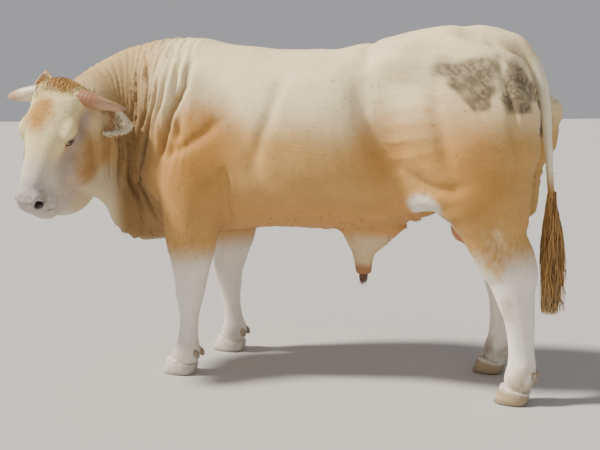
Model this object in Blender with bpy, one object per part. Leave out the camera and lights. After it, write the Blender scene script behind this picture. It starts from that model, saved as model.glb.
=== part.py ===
"""A Blonde d'Aquitaine bull standing with its head turned to its left, as a still, life-size model.

Run with: blender --background --python part.py
Metres, +Z up. The bull faces -X, its left side is -Y, and its soles stand on Z = 0.
The flesh is one smooth body of swept sections and muscle forms. Thin flat cuts part it into nodes.
Horns, ears, eyes, tail and scrotum are bodies of their own, each in a socket that fits it.
"""

import math

import bmesh
import bpy
import numpy as np
import openvdb

# Driving sizes
WITHERS = 1.475          # height at the withers
CROUP = 1.505            # height at the top of the sacrum
GAP = 0.0003             # between pieces that meet
BODY_STEP = 0.014        # cell of the grid that the body's surface is read from
HEAD_STEP = 0.007        # the same for the head
BODY_FACES = 6700        # triangles left on the body before it is cut
HEAD_FACES = 2400        # and on the head

# Head
HEAD_PLACE = (-1.124, -0.359, 1.286)       # middle of the poll, between the horns
HEAD_TURN = math.radians(85.0)             # from facing -X towards its left
HEAD_PITCH = math.radians(56.4)            # of the line of the face, below level
HEAD_ROLL = math.radians(11.4)             # left side down
HEAD_SCALE = 1.074                         # of the places given on the head

EYE = (0.208, 0.089, -0.060)               # on the head: along the face, to the side, out of the forehead
EYE_RADIUS = 0.0205
HORN_ROOT = (0.020, 0.092, -0.034)
HORN_TIP = (0.015, 0.279, -0.109)
HORN_RADIUS = 0.033
EAR_LENGTH = 0.198
EAR_WIDTH = 0.125
EAR_WALL = 0.006
EAR_ROOM = 0.0008        # round an ear in its socket
# Left ear out to the side, right ear laid up behind the poll: its root, where it points, where it opens
EARS = {
    1: ((0.060, 0.116, -0.132), (0.05, 1.00, 0.00), (0.50, 0.10, 0.85)),
    -1: ((0.050, -0.118, -0.140), (-0.95, -0.06, 0.33), (0.50, -0.15, 0.85)),
}

# Joints of the legs, from the top of the limb to the middle of the foot
LEGS = {
    "fore_left": ((-0.575, -0.215, 0.80), (-0.606, -0.190, 0.42), (-0.630, -0.200, 0.12), (-0.655, -0.200, 0)),
    "fore_right": ((-0.545, 0.215, 0.80), (-0.597, 0.200, 0.40), (-0.575, 0.205, 0.12), (-0.590, 0.208, 0)),
    "hind_left": ((0.660, -0.225, 0.82), (0.785, -0.190, 0.50), (0.832, -0.195, 0.14), (0.812, -0.200, 0)),
    "hind_right": ((0.585, 0.225, 0.82), (0.690, 0.190, 0.50), (0.696, 0.195, 0.14), (0.665, 0.190, 0)),
}
# Sections of a leg: joints passed, half width, half depth before and behind
FORE_SECTIONS = (
    (-0.60, 0.060, 0.090, 0.090), (-0.30, 0.084, 0.125, 0.112), (0.00, 0.093, 0.148, 0.128),
    (0.30, 0.090, 0.135, 0.125), (0.57, 0.080, 0.120, 0.115), (0.80, 0.070, 0.095, 0.092),
    (1.00, 0.068, 0.078, 0.075), (1.25, 0.058, 0.066, 0.062), (1.55, 0.044, 0.044, 0.046),
    (1.85, 0.046, 0.046, 0.050), (2.05, 0.058, 0.062, 0.064), (2.40, 0.055, 0.062, 0.060),
    (2.75, 0.056, 0.070, 0.055))
HIND_SECTIONS = (
    (-0.70, 0.080, 0.120, 0.120), (-0.35, 0.112, 0.170, 0.175), (0.00, 0.128, 0.170, 0.195),
    (0.22, 0.115, 0.130, 0.160), (0.59, 0.090, 0.112, 0.122), (0.81, 0.075, 0.106, 0.115),
    (1.00, 0.068, 0.094, 0.101), (1.22, 0.058, 0.070, 0.089),
    (1.45, 0.050, 0.047, 0.080), (1.67, 0.046, 0.042, 0.070), (1.85, 0.048, 0.047, 0.063),
    (2.00, 0.058, 0.060, 0.062), (2.35, 0.056, 0.062, 0.060), (2.75, 0.056, 0.070, 0.055))
CORONET = 0.058          # height of the top of the claws, under the middle of the leg
CORONET_SLOPE = 0.22     # its fall from the toe to the heel
TOE = {"fore": 0.096, "hind": 0.084}       # reach of the sole before the middle of the foot
HEEL = {"fore": 0.078, "hind": 0.068}      # and behind it
CLAW_WIDTH = 0.056
BELOW_KNEE = -0.085      # cut of a fore leg, over the knee's level
ABOVE_HOCK = 0.110       # cut of a hind leg, over the hock's level
CLEFT = 0.003            # half the gap between the two claws

# Tail, down the middle of the rump
TAIL_PATH = ((0.690, 0, 1.418), (0.757, 0, 1.426), (0.815, 0, 1.378), (0.863, 0, 1.290),
             (0.890, 0, 1.170), (0.902, 0, 1.030), (0.912, 0, 0.900), (0.920, 0, 0.800))
TAIL_RADII = (0.040, 0.044, 0.038, 0.032, 0.028, 0.025, 0.022, 0.020)
SWITCH_TIP = (0.892, 0.0, 0.318)
SWITCH_BOW = 0.024       # of the switch to the back, starting in line with the tail

HIDE = (0.78, 0.62, 0.42)
CREAM = (0.86, 0.77, 0.62)
GOLD = (0.60, 0.36, 0.13)
WHITE = (0.84, 0.80, 0.74)
HORN = (0.74, 0.56, 0.45)
CLAW = (0.42, 0.33, 0.24)
DARK = (0.05, 0.035, 0.03)
PINK = (0.66, 0.36, 0.24)


def unit(v):
    """v at length one."""
    v = np.asarray(v, float)
    return v / np.linalg.norm(v)


def head_axes():
    """The head's own axes as columns: along the face to the muzzle, to its left, and out of the forehead."""
    heading = np.array([-math.cos(HEAD_TURN), -math.sin(HEAD_TURN), 0.0])
    up = np.array([0.0, 0.0, 1.0])
    left = np.cross(up, heading)
    along = math.cos(HEAD_PITCH) * heading - math.sin(HEAD_PITCH) * up
    out = math.sin(HEAD_PITCH) * heading + math.cos(HEAD_PITCH) * up
    c, s = math.cos(HEAD_ROLL), math.sin(HEAD_ROLL)
    return np.stack([along, c * left - s * out, s * left + c * out], 1)


HEAD_AXES = head_axes()


def on_head(along, left, out):
    """A place given on the head, in the model's frame."""
    return np.asarray(HEAD_PLACE) + HEAD_SCALE * (HEAD_AXES @ np.array([along, left, out]))


def head_way(along, left, out):
    """A direction given on the head, in the model's frame."""
    return unit(HEAD_AXES @ np.array([along, left, out]))


def spline(values, steps):
    """Rows of values, joined by a Catmull-Rom curve with this many steps from row to row."""
    v = np.asarray(values, float)
    padded = np.vstack([2 * v[0] - v[1], v, 2 * v[-1] - v[-2]])
    rows = []
    for i in range(len(v) - 1):
        a, b, c, d = padded[i : i + 4]
        for t in np.arange(steps) / steps:
            rows.append(0.5 * (2 * b + (c - a) * t + (2 * a - 5 * b + 4 * c - d) * t**2
                               + (3 * b - a - 3 * c + d) * t**3))
    rows.append(v[-1])
    return np.array(rows)


def path_axes(centre, up):
    """Along a path, its tangent, and the reference direction made square to it."""
    tangent = np.gradient(centre, axis=0)
    tangent /= np.linalg.norm(tangent, axis=1)[:, None]
    up = np.asarray(up, float) - (tangent @ np.asarray(up, float))[:, None] * tangent
    return tangent, up / np.linalg.norm(up, axis=1)[:, None]


class Sweep:
    """A rounded section carried along a path.

    Each station is x, y, z, half width, and half size towards `up` and away from it. The distance is measured
    from the path along the ray to the point, less the section's own radius on that ray."""

    def __init__(self, stations, up=(0, 0, 1), power=2.0, blend=0.05, end=0.04, steps=4):
        rows = spline(stations, steps)
        self.centre, self.sizes = rows[:, :3], np.maximum(rows[:, 3:6], 0.002)
        tangent, self.up = path_axes(self.centre, up)
        self.across = np.cross(self.up, tangent)
        self.power, self.blend, self.end = power, blend, end
        reach = self.sizes.max(axis=1)[:, None]
        self.low, self.high = (self.centre - reach).min(0), (self.centre + reach).max(0)

    def distance(self, p):
        nearest = np.full(len(p), np.inf)
        offset, across, up = np.zeros_like(p), np.zeros_like(p), np.zeros_like(p)
        sizes = np.zeros((len(p), 3))
        for i in range(len(self.centre) - 1):
            a, along = self.centre[i], self.centre[i + 1] - self.centre[i]
            t = np.clip((p - a) @ along / (along @ along), 0, 1)
            away = p - a - t[:, None] * along
            square = (away * away).sum(1)
            closer = square < nearest
            nearest[closer] = square[closer]
            offset[closer] = away[closer]
            share = t[closer, None]
            across[closer] = self.across[i] * (1 - share) + self.across[i + 1] * share
            up[closer] = self.up[i] * (1 - share) + self.up[i + 1] * share
            sizes[closer] = self.sizes[i] * (1 - share) + self.sizes[i + 1] * share
        wide = (offset * across).sum(1)
        high = (offset * up).sum(1)
        rest = np.sqrt(np.maximum(nearest - wide**2 - high**2, 0))
        tall = np.where(high > 0, sizes[:, 1], sizes[:, 2])
        n = self.power
        grown = (np.abs(wide / sizes[:, 0]) ** n + np.abs(high / tall) ** n + (rest / self.end) ** n) ** (1 / n)
        radius = np.sqrt(nearest)
        return radius - radius / np.maximum(grown, 1e-9)


class Blob:
    """An ellipsoid, with its half sizes along its own axes. A hollow one is taken away from the rest."""

    def __init__(self, place, sizes, axes=None, blend=0.04, hollow=False):
        self.place, self.sizes = np.asarray(place, float), np.asarray(sizes, float)
        self.axes = np.eye(3) if axes is None else np.asarray(axes, float)
        self.blend, self.hollow = blend, hollow
        reach = np.abs(self.axes) @ self.sizes
        self.low, self.high = self.place - reach, self.place + reach

    def distance(self, p):
        local = (p - self.place) @ self.axes
        grown = np.sqrt(((local / self.sizes) ** 2).sum(1))
        steep = np.sqrt(((local / self.sizes**2) ** 2).sum(1))
        return grown * (grown - 1) / np.maximum(steep, 1e-9)


def leaning(degrees):
    """Axes turned about Y, so that the first leans up towards +X by this many degrees."""
    a = math.radians(degrees)
    return np.array([[math.cos(a), 0, -math.sin(a)], [0, 1, 0], [math.sin(a), 0, math.cos(a)]])


def trunk_forms():
    """The trunk, its muscles, the shoulders, the rump and the flank folds, both sides alike."""
    trunk = [  # x, y, z of the widest level, half width, to the back, to the belly
        (-0.84, 0, 1.03, 0.170, 0.330, 0.300), (-0.76, 0, 1.05, 0.205, 0.405, 0.400),
        (-0.66, 0, 1.06, 0.240, WITHERS - 1.06, 0.440), (-0.45, 0, 1.05, 0.285, 0.405, 0.425),
        (-0.20, 0, 1.03, 0.330, 0.398, 0.380), (0.05, 0, 1.02, 0.345, 0.412, 0.375),
        (0.25, 0, 1.04, 0.305, 0.418, 0.375), (0.40, 0, 1.08, 0.265, 0.408, 0.340),
        (0.54, 0, 1.12, 0.265, CROUP - 1.113, 0.280), (0.64, 0, 1.15, 0.240, 0.366, 0.250),
        (0.73, 0, 1.18, 0.185, 0.282, 0.200)]
    forms = [Sweep(trunk, power=2.3, end=0.035)]
    for s in (-1, 1):
        back = 0.030 * s     # the left hip stands forward, as the spine bends to that side
        thigh = [  # half width, before, behind
            (0.66, s * 0.130, 1.36, 0.085, 0.180, 0.120),
            (0.625, s * 0.155, 1.23, 0.150, 0.325, 0.283 + back),
            (0.62, s * 0.176, 1.06, 0.184, 0.345, 0.300 + back),
            (0.655, s * 0.184, 0.91, 0.172, 0.278, 0.265 + back / 2),
            (0.69, s * 0.192, 0.81, 0.140, 0.180, 0.180), (0.70, s * 0.205, 0.72, 0.100, 0.118, 0.150)]
        flank = [
            (0.20, s * 0.180, 0.780, 0.050, 0.06, 0.06), (0.36, s * 0.190, 0.800, 0.045, 0.06, 0.05),
            (0.50, s * 0.200, 0.825, 0.045, 0.05, 0.04)]
        forms += [
            Sweep(thigh, up=(-1, 0, 0), power=2.15, blend=0.055, end=0.05),
            Sweep(flank, blend=0.07),
            Blob((-0.60, s * 0.190, 1.10), (0.27, 0.090, 0.150), leaning(108), 0.08),        # shoulder blade
            Blob((-0.52, s * 0.225, 0.93), (0.170, 0.088, 0.175), leaning(-25), 0.06),       # triceps
            Blob((-0.745, s * 0.165, 0.93), (0.105, 0.095, 0.170), leaning(10), 0.07),  # its point
            Blob((0.385, s * 0.205, 1.345), (0.12, 0.075, 0.075), leaning(-8), 0.09),        # hook bone
            Blob((0.590, s * 0.155, 1.265), (0.22, 0.13, 0.14), leaning(-15), 0.06),         # rump
            Blob((0.795 + 0.6 * back, s * 0.115, 1.285), (0.070, 0.060, 0.090), leaning(20), 0.06),  # pin
        ]
    forms += [
        Blob((0.620, 0, 1.13), (0.240, 0.13, 0.37), None, 0.05),  # between the thighs
        Blob((0.700, 0, 1.400), (0.085, 0.060, 0.070), None, 0.05),  # root of the tail
        Blob((-0.80, 0, 0.76), (0.14, 0.13, 0.15), leaning(20), 0.08),                       # brisket
    ]
    return forms


def down_leg(joints, passed):
    """The place on a chain of joints after this many of them, also a part of one."""
    joints = np.asarray(joints, float)
    first = int(np.clip(math.floor(passed), 0, len(joints) - 2))
    return joints[first] + (passed - first) * (joints[first + 1] - joints[first])


def leg_form(name):
    """One leg as a sweep, with the toe side first."""
    sections = FORE_SECTIONS if name.startswith("fore") else HIND_SECTIONS
    rows = [(*down_leg(LEGS[name], passed), *sizes) for passed, *sizes in sections]
    return Sweep(rows, up=(-1, 0, 0), blend=0.05, end=0.03)


def hock_forms(name):
    """The point of the hock, which stands out behind."""
    hock = np.asarray(LEGS[name][1])
    return [Blob(hock + (0.060, 0, 0.075), (0.030, 0.028, 0.085), leaning(14), 0.05)]


def neck_forms():
    """The neck bends to the left between the shoulders and the head, with a thick crest and a dewlap."""
    neck = [
        (-0.50, 0.000, 1.08, 0.170, 0.320, 0.280), (-0.63, 0.000, 1.10, 0.220, 0.371, 0.335),
        (-0.78, 0.005, 1.13, 0.215, 0.360, 0.370),
        (-0.90, -0.005, 1.15, 0.195, 0.330, 0.350), (-0.99, -0.045, 1.15, 0.182, 0.285, 0.320),
        (-1.06, -0.110, 1.14, 0.168, 0.238, 0.300), (-1.10, -0.190, 1.12, 0.155, 0.195, 0.285),
        (-1.108, -0.270, 1.10, 0.135, 0.180, 0.265)]
    dewlap = [
        (-1.085, -0.290, 0.915, 0.060, 0.10, 0.080), (-1.045, -0.190, 0.885, 0.055, 0.12, 0.098),
        (-0.985, -0.100, 0.815, 0.050, 0.13, 0.115), (-0.930, -0.040, 0.718, 0.050, 0.13, 0.142),
        (-0.870, -0.005, 0.700, 0.056, 0.13, 0.135), (-0.790, 0.000, 0.700, 0.062, 0.13, 0.115)]
    return [Sweep(neck, power=2.1, blend=0.07), Sweep(dewlap, blend=0.06, end=0.05)]


def head_blob(place, sizes, **more):
    """A blob given on the head."""
    return Blob(on_head(*place), np.array(sizes) * HEAD_SCALE, HEAD_AXES, **more)


def head_sweep(stations, **more):
    """A sweep given on the head, with its sizes towards the forehead and away from it."""
    rows = [(*on_head(a, l, o), *(np.array(sizes) * HEAD_SCALE)) for a, l, o, *sizes in stations]
    return Sweep(rows, up=HEAD_AXES[:, 2], **more)


def head_forms():
    """Skull, jaw, cheeks, brows, horn bases, muzzle and lips."""
    skull = [  # along, left, out, half width, towards the forehead, towards the throat
        (-0.015, 0, -0.085, 0.106, 0.070, 0.120), (0.05, 0, -0.085, 0.122, 0.088, 0.130),
        (0.13, 0, -0.085, 0.126, 0.096, 0.130), (0.21, 0, -0.090, 0.108, 0.090, 0.120),
        (0.28, 0, -0.100, 0.084, 0.085, 0.105), (0.35, 0, -0.106, 0.072, 0.078, 0.095),
        (0.41, 0, -0.110, 0.063, 0.073, 0.080), (0.464, 0, -0.112, 0.062, 0.066, 0.066),
        (0.487, 0, -0.112, 0.057, 0.058, 0.058)]
    jaw = [
        (0.08, 0, -0.190, 0.100, 0.070, 0.090), (0.18, 0, -0.205, 0.108, 0.080, 0.105),
        (0.27, 0, -0.220, 0.098, 0.070, 0.110), (0.35, 0, -0.220, 0.080, 0.055, 0.100),
        (0.41, 0, -0.212, 0.066, 0.045, 0.070), (0.456, 0, -0.200, 0.055, 0.035, 0.046)]
    throat = [
        (0.16, 0, -0.335, 0.102, 0.10, 0.115), (0.24, 0, -0.335, 0.112, 0.10, 0.122),
        (0.31, 0, -0.320, 0.106, 0.09, 0.104), (0.37, 0, -0.282, 0.090, 0.06, 0.078),
        (0.41, 0, -0.245, 0.070, 0.05, 0.052), (0.45, 0, -0.215, 0.052, 0.035, 0.034)]
    forms = [
        head_sweep(skull, power=2.4, blend=0.03, end=0.025),
        head_sweep(jaw, power=2.2, blend=0.03, end=0.025),
        head_sweep(throat, power=2.5, blend=0.03, end=0.03)]
    for s in (-1, 1):
        forms += [
            head_blob((0.20, s * 0.094, -0.190), (0.125, 0.046, 0.120), blend=0.03),           # cheek
            head_blob((0.178, s * 0.096, -0.038), (0.052, 0.032, 0.030), blend=0.022),         # brow
            head_blob((0.340, s * 0.052, -0.135), (0.108, 0.034, 0.062), blend=0.034),         # upper jaw
            head_blob((0.105, s * 0.148, -0.080), (0.060, 0.032, 0.044), blend=0.025, hollow=True),
            head_blob((0.026, s * 0.090, -0.040), (0.038, 0.040, 0.036), blend=0.030),  # base of the horn
            head_blob((0.075, s * 0.110, -0.110), (0.040, 0.040, 0.040), blend=0.030),  # base of the ear
            head_blob((0.255, s * 0.128, -0.066), (0.062, 0.034, 0.036), blend=0.020, hollow=True),
            head_blob((0.468, s * 0.038, -0.084), (0.034, 0.025, 0.031), blend=0.020),  # nostril wing
            head_blob((0.408, s * 0.060, -0.142), (0.066, 0.028, 0.044), blend=0.024),  # upper lip
        ]
    forms += [
        head_blob((-0.005, 0, -0.040), (0.050, 0.095, 0.055), blend=0.03),                     # poll
        head_blob((0.474, 0, -0.116), (0.038, 0.056, 0.054), blend=0.02),                      # nose
        head_blob((0.452, 0, -0.208), (0.042, 0.055, 0.033), blend=0.02),                      # chin
    ]
    return forms


def smooth_least(a, b, k):
    """The lesser of two distances, rounded where they are within k of each other."""
    h = np.clip(0.5 + 0.5 * (b - a) / k, 0, 1)
    return b * (1 - h) + a * h - k * h * (1 - h)


FAR = 0.08               # distance past which the forms no longer matter


class Body:
    """Forms joined smoothly, as one distance from their shared surface."""

    def __init__(self, forms):
        self.forms = forms

    def distance(self, p):
        d = np.full(len(p), FAR)
        for form in self.forms:
            room = form.blend + FAR
            near = ((p > form.low - room) & (p < form.high + room)).all(axis=1)
            if not near.any():
                continue
            new = form.distance(p[near])
            if getattr(form, "hollow", False):
                d[near] = -smooth_least(-d[near], new, form.blend)
            else:
                d[near] = smooth_least(d[near], new, form.blend)
        return d


COARSE = 3               # fine cells to a coarse one


def finer(values):
    """Values on a coarse grid, carried to the fine one by straight lines along each axis."""
    share = np.arange(COARSE) / COARSE
    for axis in range(3):
        v = np.moveaxis(values, axis, 0)
        steps = v[:-1, None] * (1 - share)[None, :, None, None] + v[1:, None] * share[None, :, None, None]
        v = np.concatenate([steps.reshape(-1, *v.shape[1:]), v[-1:]])
        values = np.moveaxis(v, 0, axis)
    return values


def surface(body, low, high, step):
    """The zero of the body's distance inside a box, as points and quads.

    The distance is found on a coarse grid, and again on the fine one near the surface."""
    low, high = np.asarray(low, float), np.asarray(high, float)
    wide = COARSE * step
    counts = np.ceil((high - low) / wide).astype(int) + 1

    def grid(number, size):
        axes = [low[i] + size * np.arange(number[i]) for i in range(3)]
        return np.stack(np.meshgrid(*axes, indexing="ij"), -1).reshape(-1, 3)

    value = finer(body.distance(grid(counts, wide)).reshape(counts))
    near = np.abs(value) < 1.5 * wide
    value[near] = body.distance(grid(np.array(value.shape), step)[near.ravel()])
    for axis in range(3):
        value = np.moveaxis(value, axis, 0)
        value[0] = np.maximum(value[0], 0.5 * step)
        value[-1] = np.maximum(value[-1], 0.5 * step)
        value = np.moveaxis(value, 0, axis)
    volume = openvdb.FloatGrid(FAR)
    volume.copyFromArray(np.ascontiguousarray(value, np.float32))
    points, quads = volume.convertToQuads(0.0)
    return low + step * np.asarray(points, float), np.asarray(quads)


def volume_of(mesh):
    """The signed volume that a mesh's faces enclose."""
    points = np.array([v.co for v in mesh.vertices])
    total = 0.0
    for face in mesh.polygons:
        corners = points[list(face.vertices)]
        for i in range(1, len(corners) - 1):
            total += corners[0] @ np.cross(corners[i], corners[i + 1]) / 6
    return total


def triangulate(mesh):
    """Split every face into triangles, by the first method that leaves two faces at each edge."""
    for method in ("BEAUTY", "EAR_CLIP"):
        work = bmesh.new()
        work.from_mesh(mesh)
        bmesh.ops.triangulate(work, faces=work.faces, ngon_method=method)
        clean = all(edge.is_manifold for edge in work.edges)
        if clean or method == "EAR_CLIP":
            work.to_mesh(mesh)
        work.free()
        if clean:
            return


def put(name, points, faces):
    """A mesh object with its faces pointing out."""
    mesh = bpy.data.meshes.new(name)
    mesh.from_pydata([tuple(p) for p in points], [], [tuple(int(i) for i in f) for f in faces])
    if volume_of(mesh) < 0:
        mesh.flip_normals()
    triangulate(mesh)
    mesh.update()
    obj = bpy.data.objects.new(name, mesh)
    bpy.context.scene.collection.objects.link(obj)
    return obj


def copy_of(obj, name):
    """The same mesh under another name."""
    twin = bpy.data.objects.new(name, obj.data.copy())
    bpy.context.scene.collection.objects.link(twin)
    return twin


def remove(obj):
    mesh = obj.data
    bpy.data.objects.remove(obj)
    bpy.data.meshes.remove(mesh)


def apply_modifiers(obj):
    """Take an object's modifiers into its mesh."""
    graph = bpy.context.evaluated_depsgraph_get()
    mesh = bpy.data.meshes.new_from_object(obj.evaluated_get(graph))
    obj.modifiers.clear()
    old = obj.data
    obj.data = mesh
    bpy.data.meshes.remove(old)


def thin_out(obj, faces):
    """Leave about this many triangles, fewest where the surface is flattest."""
    count = sum(len(p.vertices) - 2 for p in obj.data.polygons)
    modifier = obj.modifiers.new("thin", "DECIMATE")
    modifier.ratio = faces / count
    modifier.use_collapse_triangulate = True
    apply_modifiers(obj)


def combine(obj, others, operation):
    """A Boolean with other objects, which are then removed. The manifold solver keeps every edge closed."""
    tools = bpy.data.collections.new("tools")
    for other in others:
        tools.objects.link(other)
    modifier = obj.modifiers.new("join", "BOOLEAN")
    modifier.operation = operation
    modifier.operand_type = "COLLECTION"
    modifier.collection = tools
    modifier.solver = "MANIFOLD"
    apply_modifiers(obj)
    for other in others:
        remove(other)
    bpy.data.collections.remove(tools)


def keep_largest(obj):
    """Drop loose scraps, so that one closed surface is left."""
    work = bmesh.new()
    work.from_mesh(obj.data)
    seen, shells = set(), []
    for vert in work.verts:
        if vert in seen:
            continue
        shell, queue = set(), [vert]
        while queue:
            v = queue.pop()
            if v in shell:
                continue
            shell.add(v)
            queue += [e.other_vert(v) for e in v.link_edges if e.other_vert(v) not in shell]
        seen |= shell
        shells.append(shell)

    def room(shell):
        points = np.array([v.co for v in shell])
        return np.prod(points.max(0) - points.min(0))

    shells.sort(key=room)
    for shell in shells[:-1]:
        bmesh.ops.delete(work, geom=list(shell), context="VERTS")
    work.to_mesh(obj.data)
    work.free()
    triangulate(obj.data)


def zone(planes, grow=0.0):
    """A convex region as a solid: what lies behind each plane, a point and an outward direction."""
    work = bmesh.new()
    bmesh.ops.create_cube(work, size=8.0)
    for point, way in planes:
        way = unit(way)
        geometry = work.verts[:] + work.edges[:] + work.faces[:]
        cut = bmesh.ops.bisect_plane(work, geom=geometry, plane_co=tuple(np.asarray(point) + grow * way),
                                     plane_no=tuple(way), clear_outer=True)
        edges = [g for g in cut["geom_cut"] if isinstance(g, bmesh.types.BMEdge)]
        bmesh.ops.holes_fill(work, edges=edges)
    mesh = bpy.data.meshes.new("zone")
    work.to_mesh(mesh)
    work.free()
    obj = bpy.data.objects.new("zone", mesh)
    bpy.context.scene.collection.objects.link(obj)
    return obj


def take(body, name, planes):
    """The piece of the body in a zone, which is cut out of the body with a thin gap."""
    piece = copy_of(body, name)
    combine(piece, [zone(planes)], "INTERSECT")
    keep_largest(piece)
    combine(body, [zone(planes, GAP)], "DIFFERENCE")
    keep_largest(body)
    return piece


def loft(name, rings, turned=0):
    """A closed body through rings of as many points each, with flat ends.

    The faces past the first `turned` points of a ring are split the other way, as a leaf's two sides match."""
    rings = np.asarray(rings, float)
    count, sides = rings.shape[:2]
    faces = []
    for i in range(count - 1):
        for j in range(sides):
            k = (j + 1) % sides
            here, beside, above, across = i * sides + j, i * sides + k, (i + 1) * sides + j, (i + 1) * sides + k
            if turned and j >= turned:
                faces += [(here, beside, above), (beside, across, above)]
            else:
                faces += [(here, beside, across), (here, across, above)]
    faces.append(tuple(range(sides))[::-1])
    faces.append(tuple((count - 1) * sides + j for j in range(sides)))
    return put(name, rings.reshape(-1, 3), faces)


def tube_rings(path, sizes, up, sides):
    """Rings round a path: half sizes across and towards `up` at each station."""
    centre = np.asarray(path, float)
    sizes = np.asarray(sizes, float)
    tangent, high = path_axes(centre, up)
    across = np.cross(high, tangent)
    turn = 2 * math.pi * np.arange(sides) / sides
    wide = np.cos(turn)[None, :, None] * across[:, None] * sizes[:, 0, None, None]
    return centre[:, None] + wide + np.sin(turn)[None, :, None] * high[:, None] * sizes[:, 1, None, None]


def tube(name, path, sizes, up, sides=8, grow=0.0):
    """A closed tube along a path, or one grown all round to cut its socket."""
    path = np.array(path, float)
    if grow:
        path[0] += grow * unit(path[0] - path[1])
        path[-1] += grow * unit(path[-1] - path[-2])
    return loft(name, tube_rings(path, np.asarray(sizes, float) + grow, up, sides))


def side_name(s):
    return "left" if s > 0 else "right"


def horn(name, s, grow=0.0):
    """A short horn that leaves the side of the poll and bends forward and down to its tip."""
    root, tip = np.array(HORN_ROOT), np.array(HORN_TIP)
    stations = np.linspace(0, 1, 9)
    path = []
    for t in stations:
        a, l, o = root + t * (tip - root) + (0.016 * math.sin(math.pi * t), 0, 0.020 * math.sin(math.pi * t))
        path.append(on_head(a, s * l, o))
    radii = HORN_RADIUS * np.clip(1 - stations**2.2, 0.16, 1)
    return tube(name, path, np.stack([radii, radii], 1), HEAD_AXES[:, 2], 10, grow)


def ear(name, s, grow=0.0):
    """A cupped leaf. Each ring runs round the back of the cup and returns inside it. The root is a solid stalk.

    Grown to cut its socket, it has a full front in place of the cup."""
    place, way, open_way = EARS[s]
    root, way, open_way = on_head(*place), head_way(*way), head_way(*open_way)
    open_way = unit(open_way - (open_way @ way) * way)
    across = np.cross(way, open_way)
    rings = []
    for t in np.sin(np.linspace(0, 0.5 * math.pi, 10)):
        leaf = math.sin(math.pi * min(1.0, 0.12 + 0.88 * t**1.15)) ** 0.6
        half = max(0.022 * (1 - t) ** 2 + 0.5 * EAR_WIDTH * leaf * min(1, 0.3 + 2.2 * t), 0.003)
        depth = 0.55 * half
        cup = 0.0 if grow else float(np.clip((t - 0.12) / 0.25, 0, 1)) * (1 - t**6)
        ring = []
        for u in np.linspace(-1, 1, 7):
            ring.append((u * (half + grow), -(depth + grow) * (1 - u * u)))
        for u in np.linspace(1, -1, 7)[1:-1]:
            inner = -depth * (1 - u * u) + EAR_WALL
            front = (0.45 * depth + grow) * (1 - u * u) + 0.004
            ring.append((u * (half + grow) * 0.96, inner * cup + front * (1 - cup)))
        centre = root + EAR_LENGTH * (t - 0.10) * way - 0.006 * math.sin(math.pi * t) * across
        rings.append([centre + a * across + b * open_way for a, b in ring])
    rings[0] = list(np.array(rings[0]) - grow * way)
    return loft(name, rings, turned=6)


def eyeball(name, s, grow=0.0):
    """A ball in the orbit."""
    centre = on_head(EYE[0], s * EYE[1], EYE[2])
    radius = EYE_RADIUS + grow
    turn = np.linspace(0, math.pi, 9)[1:-1]
    rings = []
    for a in turn:
        around = 2 * math.pi * np.arange(12) / 12
        way = np.stack([np.sin(a) * np.cos(around), np.sin(a) * np.sin(around), np.full(12, np.cos(a))], 1)
        rings.append(centre + radius * way)
    return loft(name, rings)


def eye_axes(s):
    """The eye's gaze, the line of its slit towards the nose, and upwards between the lids."""
    gaze = head_way(0.42, s * 0.86, 0.22)
    slit = head_way(0.80, s * -0.42, -0.12)
    slit = unit(slit - (slit @ gaze) * gaze)
    up = np.cross(gaze, slit)
    if up @ HEAD_AXES[:, 2] < 0:
        up = -up
    return gaze, slit, up


def lids(s):
    """The upper and the lower lid: two bent rolls that meet at the corners of the eye."""
    centre = on_head(EYE[0], s * EYE[1], EYE[2])
    gaze, slit, up = eye_axes(s)
    made = []
    for lift, fat, open_by in ((1, 0.0085, 0.006), (-1, 0.0065, 0.004)):
        path, sizes = [], []
        for t in np.linspace(-1, 1, 9):
            bow = math.cos(0.5 * math.pi * t)
            out = (EYE_RADIUS + 0.0015) * math.sqrt(max(0.0, 1 - 0.55 * t * t)) * (0.94 + 0.06 * bow)
            rise = lift * (open_by + 0.6 * fat) * bow
            path.append(centre + gaze * out + slit * 0.0265 * t + up * rise)
            sizes.append((fat * (0.35 + 0.65 * bow), fat * (0.45 + 0.55 * bow)))
        made.append(tube("lid", path, sizes, up, 6))
    return made


def nostril(s):
    """A bent funnel that is cut into the side of the nose."""
    places = [(0.524, 0.053, -0.080), (0.496, 0.050, -0.083), (0.478, 0.043, -0.090), (0.456, 0.034, -0.098),
              (0.438, 0.030, -0.104)]
    path = [on_head(a, s * l, o) for a, l, o in places]
    sizes = [(0.013, 0.021), (0.012, 0.019), (0.010, 0.015), (0.007, 0.010), (0.004, 0.005)]
    return tube("nostril", path, sizes, HEAD_AXES[:, 2], 10)


def mouth_cut():
    """A thin blade along the line of the mouth, from corner to corner round the front."""
    half = [(0.388, 0.078, -0.194), (0.412, 0.077, -0.190), (0.438, 0.071, -0.184), (0.466, 0.059, -0.178),
            (0.492, 0.038, -0.174)]
    points = half + [(0.505, 0.0, -0.172)] + [(a, -l, o) for a, l, o in half[::-1]]
    path = spline([on_head(*p) for p in points], 2)
    sizes = np.tile((0.013, 0.0032), (len(path), 1))
    sizes[0] = sizes[-1] = (0.005, 0.0015)
    return tube("mouth", path, sizes, HEAD_AXES[:, 2], 6)


def lock(root, way, length, width, thick, curl, normal, stations=6, sides=5):
    """A flat lock of hair that leaves its root along `way`, bends by `curl` and tapers to its tip."""
    way, normal = unit(way), np.asarray(normal, float)
    curl = np.asarray(curl, float)
    path, sizes = [], []
    for t in np.linspace(0, 1, stations):
        path.append(np.asarray(root) + length * (t * way + t * t * curl))
        taper = (1 - t) ** 0.7 * (0.75 + 0.9 * t)
        sizes.append((max(0.5 * width * taper, 0.0012), max(0.5 * thick * taper, 0.0010)))
    return tube("lock", path, sizes, normal, sides)


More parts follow.
